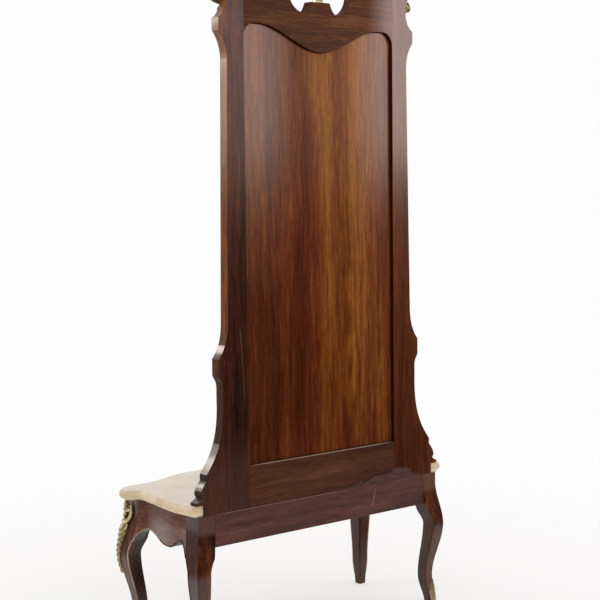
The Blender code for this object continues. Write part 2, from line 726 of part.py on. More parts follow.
def stile_outline():
    """Outline of the right stile above the mirror's foot, from its inner bottom corner and round."""
    seat = MARBLE_THICKNESS + GAP
    fillet_top = seat + FOOT_FILLET
    groove_top = fillet_top + FOOT_GROOVE_HEIGHT
    groove = BASE_HALF - FOOT_GROOVE
    torus_top = groove_top + FOOT_TORUS_HEIGHT
    torus = (BASE_HALF - FOOT_TORUS - 0.3 * FOOT_GROOVE, groove_top)
    neck_low = (BASE_HALF - FOOT_NECK, torus_top)
    neck_high = (BASE_HALF - FOOT_NECK, torus_top + FOOT_NECK_HEIGHT)
    waist = (WAIST_HALF, WAIST_HEIGHT)
    ear_foot = (WAIST_HALF, (LOWER_EAR_BOTTOM + WAIST_HEIGHT) / 2.0)
    ear_low = (LOWER_EAR_HALF, LOWER_EAR_BOTTOM)
    ear_high = (LOWER_EAR_HALF, LOWER_EAR_BOTTOM + LOWER_EAR_HEIGHT)
    shaft_low = (SHAFT_HALF_LOW, ear_high[1] + LOWER_EAR_COVE)
    shaft_high = (SHAFT_HALF_HIGH, UPPER_EAR_BOTTOM - UPPER_EAR_COVE)
    upper_low = (UPPER_EAR_HALF, UPPER_EAR_BOTTOM)
    upper_high = (UPPER_EAR_HALF, UPPER_EAR_BOTTOM + UPPER_EAR_HEIGHT)
    throat = (SHOULDER_NECK_HALF, SHOULDER_NECK)
    shoulder = (SHOULDER_HALF, SHOULDER_BOTTOM)
    inner = OPENING_HALF - LIP_WIDTH
    outline = [(inner, 0.0), (TONGUE_HALF - GAP, 0.0), (TONGUE_HALF - GAP, seat), (BASE_HALF, seat),
               (BASE_HALF, fillet_top), (BASE_HALF - FOOT_TORUS, fillet_top + 0.25 * FOOT_GROOVE_HEIGHT),
               (groove, fillet_top + 0.56 * FOOT_GROOVE_HEIGHT),
               (groove, fillet_top + 0.75 * FOOT_GROOVE_HEIGHT), torus]
    outline += sweep(torus, neck_low, (-0.56, 0.40), (0.06, 0.85))
    outline.append(neck_high)
    outline += sweep(neck_high, waist, (0.52, 0.20), (1.06, 0.44), 9)
    outline.append(ear_foot)
    outline += sweep(ear_foot, ear_low, (0.0, 0.50), (0.55, 0.65), 4)
    outline.append(ear_high)
    outline += sweep(ear_high, shaft_low, (0.50, 0.19), (1.0, 0.45), 7)
    outline.append(shaft_high)
    outline += sweep(shaft_high, upper_low, (0.0, 0.48), (0.48, 0.78), 7)
    outline.append(upper_high)
    outline += sweep(upper_high, throat, (0.50, 0.14), (1.0, 0.53))
    outline += sweep(throat, shoulder, (0.0, 0.43), (0.36, 0.79))
    outline += [(x, crest_height(x)) for x in spaced(SHOULDER_HALF, inner, 6)]
    return outline


def frame_tenons():
    """Tenons of the mirror's rails in its stiles, for each side."""
    middle = (BACK + REBATE_FACE) / 2.0
    y_range = (middle - TENON_THICKNESS / 2.0, middle + TENON_THICKNESS / 2.0)
    x_range = (OPENING_HALF, OPENING_HALF + FRAME_TENON_LENGTH)
    levels = ((BOTTOM_TENON_BOTTOM, BOTTOM_TENON_HEIGHT), (TOP_TENON_BOTTOM, TOP_TENON_HEIGHT))
    return {side: [corner_box(side, x_range, y_range, (FRAME_BASE + low, FRAME_BASE + low + height))
                   for low, height in levels] for side in (-1, 1)}


def make_stile(side, wood, holes, chamfer):
    """A full-height stile with ears, a moulded spreading foot and a rebate for the glass."""
    outline = [(side * x, FRAME_BASE + z) for x, z in stile_outline()]
    name = "right_stile" if side > 0 else "left_stile"
    stile = make_slab(name, outline, FRAME_FRONT, BACK, wood)
    spare = LIP_WIDTH
    rebate = corner_box(side, (OPENING_HALF - LIP_WIDTH - spare, OPENING_HALF), (REBATE_FACE, BACK + spare),
                        (FRAME_BASE - spare, FRAME_BASE + SCROLL_TOP + spare))
    combine(stile, make_boxes(f"{name}_rebate", [rebate], wood), "DIFFERENCE")
    combine(stile, make_boxes(f"{name}_mortises", grown(frame_tenons()[side], GAP), wood), "DIFFERENCE")
    combine(stile, chamfer, "DIFFERENCE")
    combine(stile, holes, "DIFFERENCE")


def finish_rail(rail, level, rebate, chamfer, wood):
    """Give a rail of the mirror its rebate, its short front shoulders, its tenons and its chamfer."""
    spare = LIP_WIDTH
    shoulders = [corner_box(side, (OPENING_HALF - LIP_WIDTH - GAP, OPENING_HALF + spare),
                            (FRAME_FRONT - spare, REBATE_FACE + GAP),
                            (FRAME_BASE - spare, FRAME_BASE + SCROLL_TOP + spare)) for side in (-1, 1)]
    combine(rail, rebate, "DIFFERENCE")
    combine(rail, make_boxes(f"{rail.name}_shoulders", shoulders, wood), "DIFFERENCE")
    tenons = []
    for side, boxes in frame_tenons().items():
        low, high = boxes[level]
        x_range = (OPENING_HALF - FRAME_TENON_LENGTH / 3.0, OPENING_HALF + FRAME_TENON_LENGTH - GAP)
        tenons.append(corner_box(side, x_range, (low[1], high[1]), (low[2], high[2])))
    combine(rail, make_boxes(f"{rail.name}_tenon_guides", tenons, wood), "UNION")
    combine(rail, chamfer, "DIFFERENCE")


def top_rail_outline():
    """Right half of the top rail's outline, from the middle of its lower edge to the pedestal's corner."""
    end = OPENING_HALF - GAP
    lower = [(min(x, end), z - LIP_WIDTH) for x, z in reversed(opening_line(0.0))]
    upper = [(x, crest_height(x)) for x in spaced(end, SCROLL_HALF, 12)]
    centre = SCROLL_TOP - SCROLL_RADIUS
    scroll = [(SCROLL_HALF + SCROLL_RADIUS * cos(a), centre + SCROLL_RADIUS * sin(a))
              for a in spaced(pi / 2.0, 5.0 * pi / 4.0, 9)[1:]]
    cut_start = (CUT_HALF, CUT_SHOULDER)
    cut_low = (CUT_LOW_HALF, CUT_BOTTOM)
    cut = [cut_start]
    cut += sweep(cut_start, cut_low, (0.04, 0.52), (0.50, 0.98))
    cut += sweep(cut_low, (PEDESTAL_HALF, PEDESTAL_TOP), (0.48, -0.03), (0.79, 0.45), 5)
    return lower + upper + scroll + cut


def make_top_rail(wood, rebate, chamfer):
    """The top rail with its waved lower edge, the broken crest and the pedestal in its middle."""
    half = top_rail_outline()
    outline = half + [(-x, z) for x, z in reversed(half) if x > 0.0]
    rail = make_slab("top_rail", [(x, FRAME_BASE + z) for x, z in outline], FRAME_FRONT, BACK, wood)
    finish_rail(rail, 1, rebate, chamfer, wood)


def make_bottom_rail(wood, rebate, chamfer, holes):
    """The bottom rail, which stands on the console between the stiles."""
    end = OPENING_HALF - GAP
    top = FRAME_BASE + OPENING_BOTTOM + LIP_WIDTH
    outline = [(-end, FRAME_BASE), (end, FRAME_BASE), (end, top), (-end, top)]
    rail = make_slab("bottom_rail", outline, FRAME_FRONT, BACK, wood)
    finish_rail(rail, 0, rebate, chamfer, wood)
    combine(rail, holes, "DIFFERENCE")


def make_mirror(wood, board, glass, bronze):
    """The framed mirror: stiles, rails, glass, back board, dowels and bronzes."""
    dowel_y = BACK - BACK_RAIL_THICKNESS / 2.0
    in_stile = (OPENING_HALF + TONGUE_HALF) / 2.0
    in_rail = OPENING_HALF * 0.43
    places = [(x, dowel_y) for x in (-in_stile, -in_rail, in_rail, in_stile)]
    holes = make_rods("dowel_holes", places, DOWEL_RADIUS + GAP, TABLE_HEIGHT - DOWEL_LENGTH / 2.0 - GAP,
                      TABLE_HEIGHT + DOWEL_LENGTH / 2.0 + GAP, wood)
    rebate = make_slab("rebate_guide", opening_outline(0.0), REBATE_FACE, BACK + LIP_WIDTH, wood)
    sight = LIP_WIDTH
    levels = ((FRAME_FRONT - LIP_CHAMFER, sight - 2.0 * LIP_CHAMFER), (FRAME_FRONT + LIP_CHAMFER, sight))
    rings = [[(x, y, z) for x, z in opening_outline(inset)] for y, inset in levels]
    chamfer = make_loft("chamfer_guide", rings, wood)
    make_back_rail(wood, holes)
    for side in (-1, 1):
        make_stile(side, wood, holes, chamfer)
    make_top_rail(wood, rebate, chamfer)
    make_bottom_rail(wood, rebate, chamfer, holes)
    glass_front = REBATE_FACE + GAP
    glass_back = glass_front + GLASS_THICKNESS
    panel_front = glass_back + GAP
    make_slab("mirror_glass", opening_outline(PANEL_GAP), glass_front, glass_back, glass)
    make_slab("back_panel", opening_outline(PANEL_GAP), panel_front, panel_front + PANEL_THICKNESS, board)
    for number, place in enumerate(places, 1):
        make_rods(f"dowel_{number}", [place], DOWEL_RADIUS, TABLE_HEIGHT - DOWEL_LENGTH / 2.0,
                  TABLE_HEIGHT + DOWEL_LENGTH / 2.0, board)
    make_crest_ornament(bronze)
    for side in (-1, 1):
        make_corner_mount(side, bronze)


def make_relief(name, outline, centre, seat, thickness, bronze, seat_shares=()):
    """A cast relief that rises from a thin edge to a ribbed middle.

    outline holds places with the height of the rib there, from 0 to 1, and is star-shaped about centre.
    seat turns a place and a height above the seat into a world point.  seat_shares lists inner rings
    of the back, where the seat is curved.
    """
    levels = [(share, 0.0) for share in seat_shares]
    levels += [(1.0, 0.0), (1.0, 0.30), (0.80, 0.80), (0.42, 1.0), (0.12, 0.85)]
    rings = []
    for share, height in levels:
        ring = []
        for u, v, rib in outline:
            place = (centre[0] + (u - centre[0]) * share, centre[1] + (v - centre[1]) * share)
            ring.append(seat(*place, height * thickness * (0.62 + 0.38 * rib)))
        rings.append(ring)
    make_loft(name, rings, bronze)


def shell_outline(width, height, ribs):
    """A fan shell as places with rib heights, star-shaped about the hinge at the origin."""
    outline = []
    steps = 4 * ribs
    for k in range(steps + 1):
        angle = pi * (1.24 * k / steps - 0.12)
        rib = abs(sin(ribs * pi * k / steps))
        scallop = 0.86 + 0.14 * rib
        rise = 0.28 + 0.72 * sin(angle)
        outline.append((0.5 * width * scallop * cos(angle), height * scallop * rise, rib))
    return outline


def make_crest_ornament(bronze):
    """A fan shell on a waisted stem, standing on the pedestal of the crest."""
    foot = FRAME_BASE + PEDESTAL_TOP + GAP
    middle = (FRAME_FRONT + BACK) / 2.0
    hinge = foot + 0.30 * ORNAMENT_HEIGHT
    stem = ORNAMENT_STEM_HALF
    outline = [(x, hinge + z, rib) for x, z, rib in shell_outline(ORNAMENT_WIDTH, 0.70 * ORNAMENT_HEIGHT, 9)]
    waist = foot + 0.14 * ORNAMENT_HEIGHT
    outline += [(-stem, waist, 0.0), (-stem, foot, 0.0), (stem, foot, 0.0), (stem, waist, 0.0)]

    def seat(x, z, height):
        return x, middle + ORNAMENT_THICKNESS / 2.0 - height, z

    make_relief("crest_ornament", outline, (0.0, hinge), seat, ORNAMENT_THICKNESS, bronze)


def make_corner_mount(side, bronze):
    """A leaf spray on the room side of a stile, just above its upper ear."""
    centre_x = SHOULDER_NECK_HALF - 0.35 * CORNER_MOUNT_WIDTH
    centre_z = FRAME_BASE + UPPER_EAR_BOTTOM + UPPER_EAR_HEIGHT + 0.42 * CORNER_MOUNT_LENGTH
    outline = []
    lobes = 9
    steps = 4 * lobes
    for k in range(steps):
        angle = 2.0 * pi * k / steps
        rib = abs(cos(0.5 * lobes * angle))
        lobe = 0.80 + 0.20 * rib
        outline.append((centre_x + 0.5 * CORNER_MOUNT_WIDTH * lobe * cos(angle),
                        centre_z + 0.5 * CORNER_MOUNT_LENGTH * lobe * sin(angle), rib))

    def seat(x, z, height):
        return side * x, FRAME_FRONT - MOUNT_GAP - height, z

    name = "right_corner_mount" if side > 0 else "left_corner_mount"
    make_relief(name, outline, (centre_x, centre_z), seat, CORNER_MOUNT_THICKNESS, bronze)


def make_apron_mount(bronze):
    """A fan shell in the middle of the front apron, with its hinge at the top."""
    hinge = TABLE_HEIGHT - 0.30 * FRONT_LOBE
    fan = shell_outline(APRON_MOUNT_WIDTH, 0.88 * APRON_MOUNT_HEIGHT, 7)
    outline = [(x, hinge - z, rib) for x, z, rib in fan]

    def seat(x, z, height):
        return x, BACK - front_apron_depth(x) - leg_bow(z) - MOUNT_GAP - height, z

    make_relief("apron_mount", outline, (0.0, hinge), seat, APRON_MOUNT_THICKNESS, bronze, (0.12, 0.42, 0.80))


def make_carcase(wood, secondary, stone, bronze):
    """The console: legs, aprons, bearers, glue blocks, marble and bronzes."""
    for end in ("rear", "front"):
        for side in (-1, 1):
            make_leg((side, end), wood)
            make_shoe((side, end), bronze)
    for side in (-1, 1):
        make_side_apron(side, wood)
        make_knee_mount((side, "front"), bronze)
    make_front_apron(wood)
    make_apron_mount(bronze)
    make_bearers(secondary)
    make_glue_blocks(secondary)
    make_marble(stone)


def main():
    """Clear the scene and build the console and its mirror."""
    for thing in list(bpy.data.objects):
        bpy.data.objects.remove(thing)
    wood = make_material("polished_mahogany", (0.055, 0.022, 0.014), 0.22, 0.0)
    board = make_material("mahogany_back_board", (0.085, 0.036, 0.020), 0.28, 0.0)
    secondary = make_material("plain_pine", (0.42, 0.28, 0.15), 0.60, 0.0)
    stone = make_material("cream_marble", (0.78, 0.70, 0.60), 0.25, 0.0)
    glass = make_material("silvered_glass", (0.90, 0.91, 0.90), 0.03, 1.0)
    bronze = make_material("gilt_bronze", (0.60, 0.42, 0.16), 0.35, 1.0)
    make_carcase(wood, secondary, stone, bronze)
    make_mirror(wood, board, glass, bronze)


main()
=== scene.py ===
"""Looks of the console table and its tall framed mirror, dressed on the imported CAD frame.

The room side faces -Y and the plain polished back +Y.  Lengths are in metres unless a name ends in mm.
"""
import logging
from dataclasses import dataclass, field
from enum import Enum
from functools import cached_property
from math import cos, hypot, pi, radians, sin, sqrt
from typing import Any, Callable, Mapping, Optional, Sequence

import bmesh
import bpy
from mathutils import Matrix, Vector


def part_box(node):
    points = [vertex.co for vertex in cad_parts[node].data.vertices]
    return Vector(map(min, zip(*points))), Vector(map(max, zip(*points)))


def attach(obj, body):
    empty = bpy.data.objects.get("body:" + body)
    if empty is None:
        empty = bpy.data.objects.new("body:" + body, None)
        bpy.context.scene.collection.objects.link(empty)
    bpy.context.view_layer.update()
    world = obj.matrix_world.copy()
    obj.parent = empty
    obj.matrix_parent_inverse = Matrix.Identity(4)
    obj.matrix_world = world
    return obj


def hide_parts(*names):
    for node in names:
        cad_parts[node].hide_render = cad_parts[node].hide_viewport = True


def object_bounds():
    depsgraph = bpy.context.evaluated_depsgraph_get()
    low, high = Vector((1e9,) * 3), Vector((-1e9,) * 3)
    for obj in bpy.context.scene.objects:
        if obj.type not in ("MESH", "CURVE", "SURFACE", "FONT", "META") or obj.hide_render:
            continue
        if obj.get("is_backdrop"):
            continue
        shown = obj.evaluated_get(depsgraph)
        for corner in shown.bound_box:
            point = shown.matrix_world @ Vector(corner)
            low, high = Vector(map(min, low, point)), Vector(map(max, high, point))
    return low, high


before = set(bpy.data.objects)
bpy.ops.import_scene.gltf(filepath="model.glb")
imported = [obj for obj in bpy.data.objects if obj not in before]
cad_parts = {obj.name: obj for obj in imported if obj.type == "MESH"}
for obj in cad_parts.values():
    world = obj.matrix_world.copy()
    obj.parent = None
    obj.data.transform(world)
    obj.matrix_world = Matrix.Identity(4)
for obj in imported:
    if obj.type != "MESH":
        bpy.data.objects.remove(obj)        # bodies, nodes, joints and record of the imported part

CAD_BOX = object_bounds()
LOG = logging.getLogger("console_table")

Colour = tuple[float, float, float, float]
Face = bpy.types.MeshPolygon
Seat = Callable[[float, float, float], Vector]
Socket = bpy.types.NodeSocket
Spot = tuple[float, float]
Triple = tuple[float, float, float]
Turns = Sequence[Spot]

BOTH = (-1, 1)           # the two halves of a bronze that mirror each other
GAP = 0.0003             # room between pieces that meet
QUARTER = pi / 2.0
ROUND = 2.0 * pi
TINY = 1e-9              # least length that is divided by


class Slot(Enum):
    """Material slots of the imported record."""

    MAHOGANY = "polished_mahogany"
    BOARD = "mahogany_back_board"
    PINE = "plain_pine"
    MARBLE = "cream_marble"
    GLASS = "silvered_glass"
    BRONZE = "gilt_bronze"


class Grain(Enum):
    """Axis that the wood's fibres follow."""

    ACROSS = 0
    DEEP = 1
    UPRIGHT = 2

    def stretch(self, along: float) -> tuple[float, ...]:
        """Pattern scale that draws the fibres out along the grain."""
        return tuple(along if axis == self.value else 1.0 for axis in range(3))


class Side(Enum):
    """Side of the middle plane, as someone who looks into the mirror has it."""

    LEFT = -1
    RIGHT = 1

    @property
    def word(self) -> str:
        """The side as it stands in the names of pieces."""
        return self.name.lower()


class End(Enum):
    """End of the carcase that a leg stands at."""

    REAR = "rear"
    FRONT = "front"


def smooth(t: float) -> float:
    """S-shaped ease from 0 to 1."""
    return t * t * (3.0 - 2.0 * t)


def wave(turns: Turns, x: float, ease: Callable[[float], float] = smooth) -> float:
    """Value at x of the curve that eases through turning points.

    Args:
        turns: pairs of place and value, in order of place.
        x: place along the curve.
        ease: way from one turning point to the next, as a share from 0 to 1.

    Returns:
        The eased value, held beyond both ends.
    """
    if x <= turns[0][0]:
        return turns[0][1]
    for (x0, v0), (x1, v1) in zip(turns, turns[1:]):
        if x <= x1:
            return v0 + (v1 - v0) * ease((x - x0) / (x1 - x0))
    return turns[-1][1]


def straight(turns: Turns, x: float) -> float:
    """Value at x of the line that runs straight from place to place, held beyond both ends."""
    return wave(turns, x, ease=float)


def arched(turns: Turns, x: float, slant: float = 2.4) -> float:
    """Value at x of a curve that eases through its inner turning points and slants into both ends.

    Args:
        turns: pairs of place and value, in order of place.
        x: place along the curve.
        slant: power of the curve at both ends.

    Returns:
        The value, held beyond both ends.
    """
    for (x0, v0), (x1, v1) in ((turns[1], turns[0]), (turns[-2], turns[-1])):
        share = (x - x0) / (x1 - x0)
        if share > 0.0:
            return v0 + (v1 - v0) * min(share, 1.0) ** slant
    return wave(turns, x)


def spaced(start: float, end: float, count: int) -> list[float]:
    """Evenly spaced values from start to end, both included, with count steps."""
    return [start + (end - start) * i / count for i in range(count + 1)]


def mirrored(half: Sequence[Spot]) -> list[Spot]:
    """The other half of an outline about the middle plane, in the opposite order."""
    return [(-x, other) for x, other in reversed(half)]


def sweep(start: Spot, end: Spot, leave: Spot, arrive: Spot, steps: int = 18) -> list[Spot]:
    """Points of a curve between two points, without its first point.

    Args:
        start: first point.
        end: last point.
        leave: place of the first handle, as shares of the way in each axis.
        arrive: place of the second handle, in the same shares.
        steps: number of points.

    Returns:
        The points after the first.
    """
    handles = [tuple(a + (b - a) * share for a, b, share in zip(start, end, shares))
               for shares in (leave, arrive)]
    controls = (start, *handles, end)
    points = []
    for t in spaced(0.0, 1.0, steps)[1:]:
        weights = ((1 - t) ** 3, 3 * t * (1 - t) ** 2, 3 * t * t * (1 - t), t ** 3)
        points.append(tuple(sum(w * p[k] for w, p in zip(weights, controls)) for k in (0, 1)))
    return points


def inset(outline: Sequence[Spot], amount: float) -> list[Spot]:
    """A closed outline, moved in along its mitred normals.

    Args:
        outline: corners of the outline, in order.
        amount: distance that each edge moves in.

    Returns:
        The moved corners.
    """
    area = sum(a[0] * b[1] - b[0] * a[1] for a, b in zip(outline, [*outline[1:], outline[0]]))
    turn = 1.0 if area > 0.0 else -1.0
    moved = []
    for i, (x, z) in enumerate(outline):
        normals = []
        for (ax, az), (bx, bz) in ((outline[i - 1], (x, z)), ((x, z), outline[(i + 1) % len(outline)])):
            length = max(hypot(bx - ax, bz - az), TINY)
            normals.append((turn * (az - bz) / length, turn * (bx - ax) / length))
        mx, mz = (normals[0][0] + normals[1][0], normals[0][1] + normals[1][1])
        length = max(hypot(mx, mz), TINY)
        mx, mz = mx / length, mz / length
        mitre = max(0.5, mx * normals[0][0] + mz * normals[0][1])
        moved.append((x + amount * mx / mitre, z + amount * mz / mitre))
    return moved


def linear(colour: str) -> Colour:
    """An sRGB hex colour as linear red, green, blue and alpha."""
    parts = [int(colour[i:i + 2], 16) / 255.0 for i in (1, 3, 5)]
    red, green, blue = [v / 12.92 if v <= 0.04045 else ((v + 0.055) / 1.055) ** 2.4 for v in parts]
    return red, green, blue, 1.0


def per_metre(size_mm: float) -> float:
    """Scale of a pattern whose features are size_mm across."""
    return 1000.0 / size_mm


def add_node(tree: bpy.types.NodeTree, kind: str, inputs: Optional[Mapping[Any, Any]] = None,
             stops: Sequence[tuple[float, str]] = (), **settings: Any) -> bpy.types.Node:
    """Add a shader node with its settings, and fill or link its inputs.

    Args:
        tree: node tree that takes the node.
        kind: the node's type without its ShaderNode prefix.
        inputs: values, or sockets to link, by an input's name or number.
        stops: stops of a colour ramp, as pairs of place and hex colour.
        settings: the node's own properties.

    Returns:
        The new node.
    """
    made = tree.nodes.new(f"ShaderNode{kind}")
    for name, value in settings.items():
        setattr(made, name, value)
    for _ in stops[2:]:
        made.color_ramp.elements.new(0.5)
    for element, (place, colour) in zip(made.color_ramp.elements if stops else (), stops):
        element.position = place
        element.color = linear(colour)
    for key, value in (inputs or {}).items():
        if isinstance(value, Socket):
            tree.links.new(value, made.inputs[key])
        else:
            made.inputs[key].default_value = value
    return made


@dataclass
class Surface:
    """A material with a principled shader, and the steps that the finishes share.

    Fields:
        name: the material's name.
        constants: values of the shader's sockets that are the same all over.
    """

    name: str
    constants: Mapping[str, Any]

    def __post_init__(self) -> None:
        """Make the material."""
        self.material = bpy.data.materials.new(self.name)
        self.material.use_nodes = True
        self.tree = self.material.node_tree
        self.shader = self.tree.nodes["Principled BSDF"]
        for key, value in self.constants.items():
            self.shader.inputs[key].default_value = value

    @cached_property
    def place(self) -> Socket:
        """Place on the object."""
        return add_node(self.tree, "TexCoord").outputs["Object"]

    @cached_property
    def behind(self) -> Socket:
        """One on the back of a board, and nought on its other faces."""
        return self.math("GREATER_THAN", self.normal(1), 0.2)

    def link(self, sockets: Mapping[str, Socket]) -> bpy.types.Material:
        """Feed the shader's inputs by name, and give the finished material."""
        for key, socket in sockets.items():
            self.tree.links.new(socket, self.shader.inputs[key])
        return self.material

    def axis(self, number: int) -> Socket:
        """The place along one axis."""
        return add_node(self.tree, "SeparateXYZ", {0: self.place}).outputs[number]

    def normal(self, number: int) -> Socket:
        """How far the surface faces along one axis."""
        facing = add_node(self.tree, "NewGeometry").outputs["Normal"]
        return add_node(self.tree, "SeparateXYZ", {0: facing}).outputs[number]

    def drawn_out(self, scale: Sequence[float], place: Optional[Socket] = None,
                  shift: Triple = (0.0, 0.0, 0.0)) -> Socket:
        """The place on the object, or another place, with each axis scaled and then shifted."""
        inputs = {"Vector": self.place if place is None else place, "Location": shift, "Scale": scale}
        return add_node(self.tree, "Mapping", inputs).outputs[0]

    def noise(self, size_mm: float, detail: float, roughness: float = 0.5, place: Optional[Socket] = None,
              distortion: float = 0.0) -> Socket:
        """Noise whose features have a size, over the object or over another place.

        Args:
            size_mm: size of its features.
            detail: number of finer layers.
            roughness: strength of the finer layers.
            place: where it is looked up.
            distortion: how much it is swirled.

        Returns:
            The noise's value.
        """
        inputs = {"Vector": self.place if place is None else place, "Scale": per_metre(size_mm),
                  "Detail": detail, "Roughness": roughness, "Distortion": distortion}
        return add_node(self.tree, "TexNoise", inputs).outputs[0]

    def math(self, operation: str, *values: Any) -> Socket:
        """Result of one step of arithmetic on sockets and numbers."""
        return add_node(self.tree, "Math", dict(enumerate(values)), operation=operation).outputs[0]

    def away(self, value: Socket, middle: Any) -> Socket:
        """Distance of a value from a middle."""
        return self.math("ABSOLUTE", self.math("SUBTRACT", value, middle))

    def fit(self, value: Socket, start: float, end: float, low: float = 0.0, high: float = 1.0,
            eased: bool = False) -> Socket:
        """A value's way from start to end, as a number from low to high.

        Args:
            value: the value.
            start: value that gives low, also before it.
            end: value that gives high, also after it.
            low: result at the start.
            high: result at the end.
            eased: whether the way is S-shaped.

        Returns:
            The number.
        """
        inputs = dict(enumerate((value, start, end, low, high)))
        kind = "SMOOTHSTEP" if eased else "LINEAR"
        return add_node(self.tree, "MapRange", inputs, interpolation_type=kind).outputs[0]

    def mix(self, share: float, under: Socket, over: Socket) -> Socket:
        """Two values, mixed by a share."""
        return add_node(self.tree, "Mix", {0: share, 2: under, 3: over}).outputs[0]

    def blend(self, share: Socket, under: Any, over: Any) -> Socket:
        """Two colours, mixed by a share."""
        return add_node(self.tree, "Mix", {0: share, 6: under, 7: over}, data_type="RGBA").outputs[2]

    def ramp(self, value: Socket, *stops: tuple[float, str]) -> Socket:
        """Colour for a value, between stops of value and hex colour."""
        return add_node(self.tree, "ValToRGB", {0: value}, stops).outputs[0]

    def bump(self, strength: float, distance: float, height: Socket) -> Socket:
        """Normal of a surface with a fine relief."""
        inputs = {"Strength": strength, "Distance": distance, "Height": height}
        return add_node(self.tree, "Bump", inputs).outputs[0]


@dataclass(frozen=True)
class Band:
    """A brighter or darker strip of a board, upright, fading to its sides and ends.

    Fields:
        middle: X of the strip's middle.
        half: half its width.
        low: height where it starts to show.
        high: height where it has faded again.
        gain: how much it lifts the tone.
        fade: height over which it comes and goes.
    """

    middle: float
    half: float
    low: float
    high: float
    gain: float
    fade: float = 0.25

    def lift(self, made: Surface, tone: Socket) -> Socket:
        """The grain's tone, changed along the strip."""
        near = made.fit(made.away(made.axis(0), self.middle), 0.0, self.half, self.gain, 0.0, eased=True)
        rise = made.fit(made.axis(2), self.low, self.low + self.fade, eased=True)
        fall = made.fit(made.axis(2), self.high - self.fade, self.high, 1.0, 0.0, eased=True)
        return made.math("MULTIPLY_ADD", near, made.math("MULTIPLY", rise, fall), tone)


@dataclass(frozen=True)
class Flame:
    """A flame figure: rings round a place on a board, drawn out upwards and fading outwards.

    Fields:
        x: X of its middle.
        z: height of its middle.
        half: half its width.
        tall: share of the rings' width that goes into a unit of height.
        gain: how much it changes the tone.
    """

    x: float
    z: float
    half: float
    tall: float = 0.20
    gain: float = 0.075

    def draw(self, made: Surface, tone: Socket) -> Socket:
        """The grain's tone with the figure."""
        arch = made.drawn_out((1.0, 0.0, self.tall), shift=(-self.x, 0.0, -self.tall * self.z))
        inputs = {"Vector": arch, "Scale": 9.0, "Distortion": 3.0, "Detail": 3.0, "Detail Scale": 2.2}
        rings = add_node(made.tree, "TexWave", inputs, wave_type="RINGS", rings_direction="SPHERICAL")
        reach = add_node(made.tree, "VectorMath", {0: arch}, operation="LENGTH").outputs["Value"]
        fade = made.fit(reach, 0.01, self.half, self.gain, 0.0, eased=True)
        return made.math("MULTIPLY_ADD", made.math("SUBTRACT", rings.outputs[1], 0.5), fade, tone)


@dataclass(frozen=True)
class ScratchAndHighlightLine:
    """A scratch, a crack in painted shadow or a painted highlight on a board's back, between two places in X
    and Z.
    """

    start: Spot
    end: Spot
    half_width: float = 0.0011
    colour: str = "#7a5c50"

    def draw(self, made: Surface, colour: Socket) -> Socket:
        """The wood's colour with the line over it."""
        level = abs(self.end[0] - self.start[0]) > abs(self.end[1] - self.start[1])
        run, drift = (0, 2) if level else (2, 0)
        (x0, z0), (x1, z1) = (spot[::-1] if level else spot for spot in (self.start, self.end))
        length = abs(z1 - z0)
        off = made.away(made.axis(drift), made.fit(made.axis(run), z0, z1, x0, x1))
        near = made.fit(off, 0.3 * self.half_width, 1.6 * self.half_width, 0.85, 0.0)
        ends = made.fit(made.away(made.axis(run), 0.5 * (z0 + z1)), 0.40 * length, 0.5 * length, 1.0, 0.0)
        mask = made.math("MULTIPLY", made.math("MULTIPLY", near, ends), made.behind)
        return made.blend(mask, colour, linear(self.colour))


@dataclass(frozen=True)
class WornGloss:
    """A strip of a board where rubbing has taken part of the gloss.

    Fields:
        axis: axis across the strip, 0 to 2.
        middle: place of its middle on that axis.
        half: half its width.
        fade: width over which the gloss comes back at its sides.
        left: share of the gloss that is left.
    """

    axis: int
    middle: float
    half: float
    fade: float
    left: float

    def rub(self, made: Surface, gloss: Any) -> Socket:
        """What is left of the gloss."""
        off = made.away(made.axis(self.axis), self.middle)
        kept = made.fit(off, self.half - self.fade, self.half, self.left, 1.0, eased=True)
        return made.math("MULTIPLY", kept, gloss)


@dataclass(frozen=True)
class Film:
    """A dull film of dust and old wax on the back of a board, up to a height or from a height up.

    Fields:
        end: height where it ends.
        fade: height over which it thins out, below nought if it lies above its end.
        share: how much of the wood it hides.
        colour: its colour.
    """

    end: float
    fade: float
    share: float
    colour: str

    def cover(self, made: Surface, colour: Socket) -> Socket:
        """The wood's colour with the film over it."""
        thick = made.fit(made.axis(2), self.end - self.fade, self.end, self.share, 0.0, eased=True)
        return made.blend(made.math("MULTIPLY", thick, made.behind), colour, linear(self.colour))


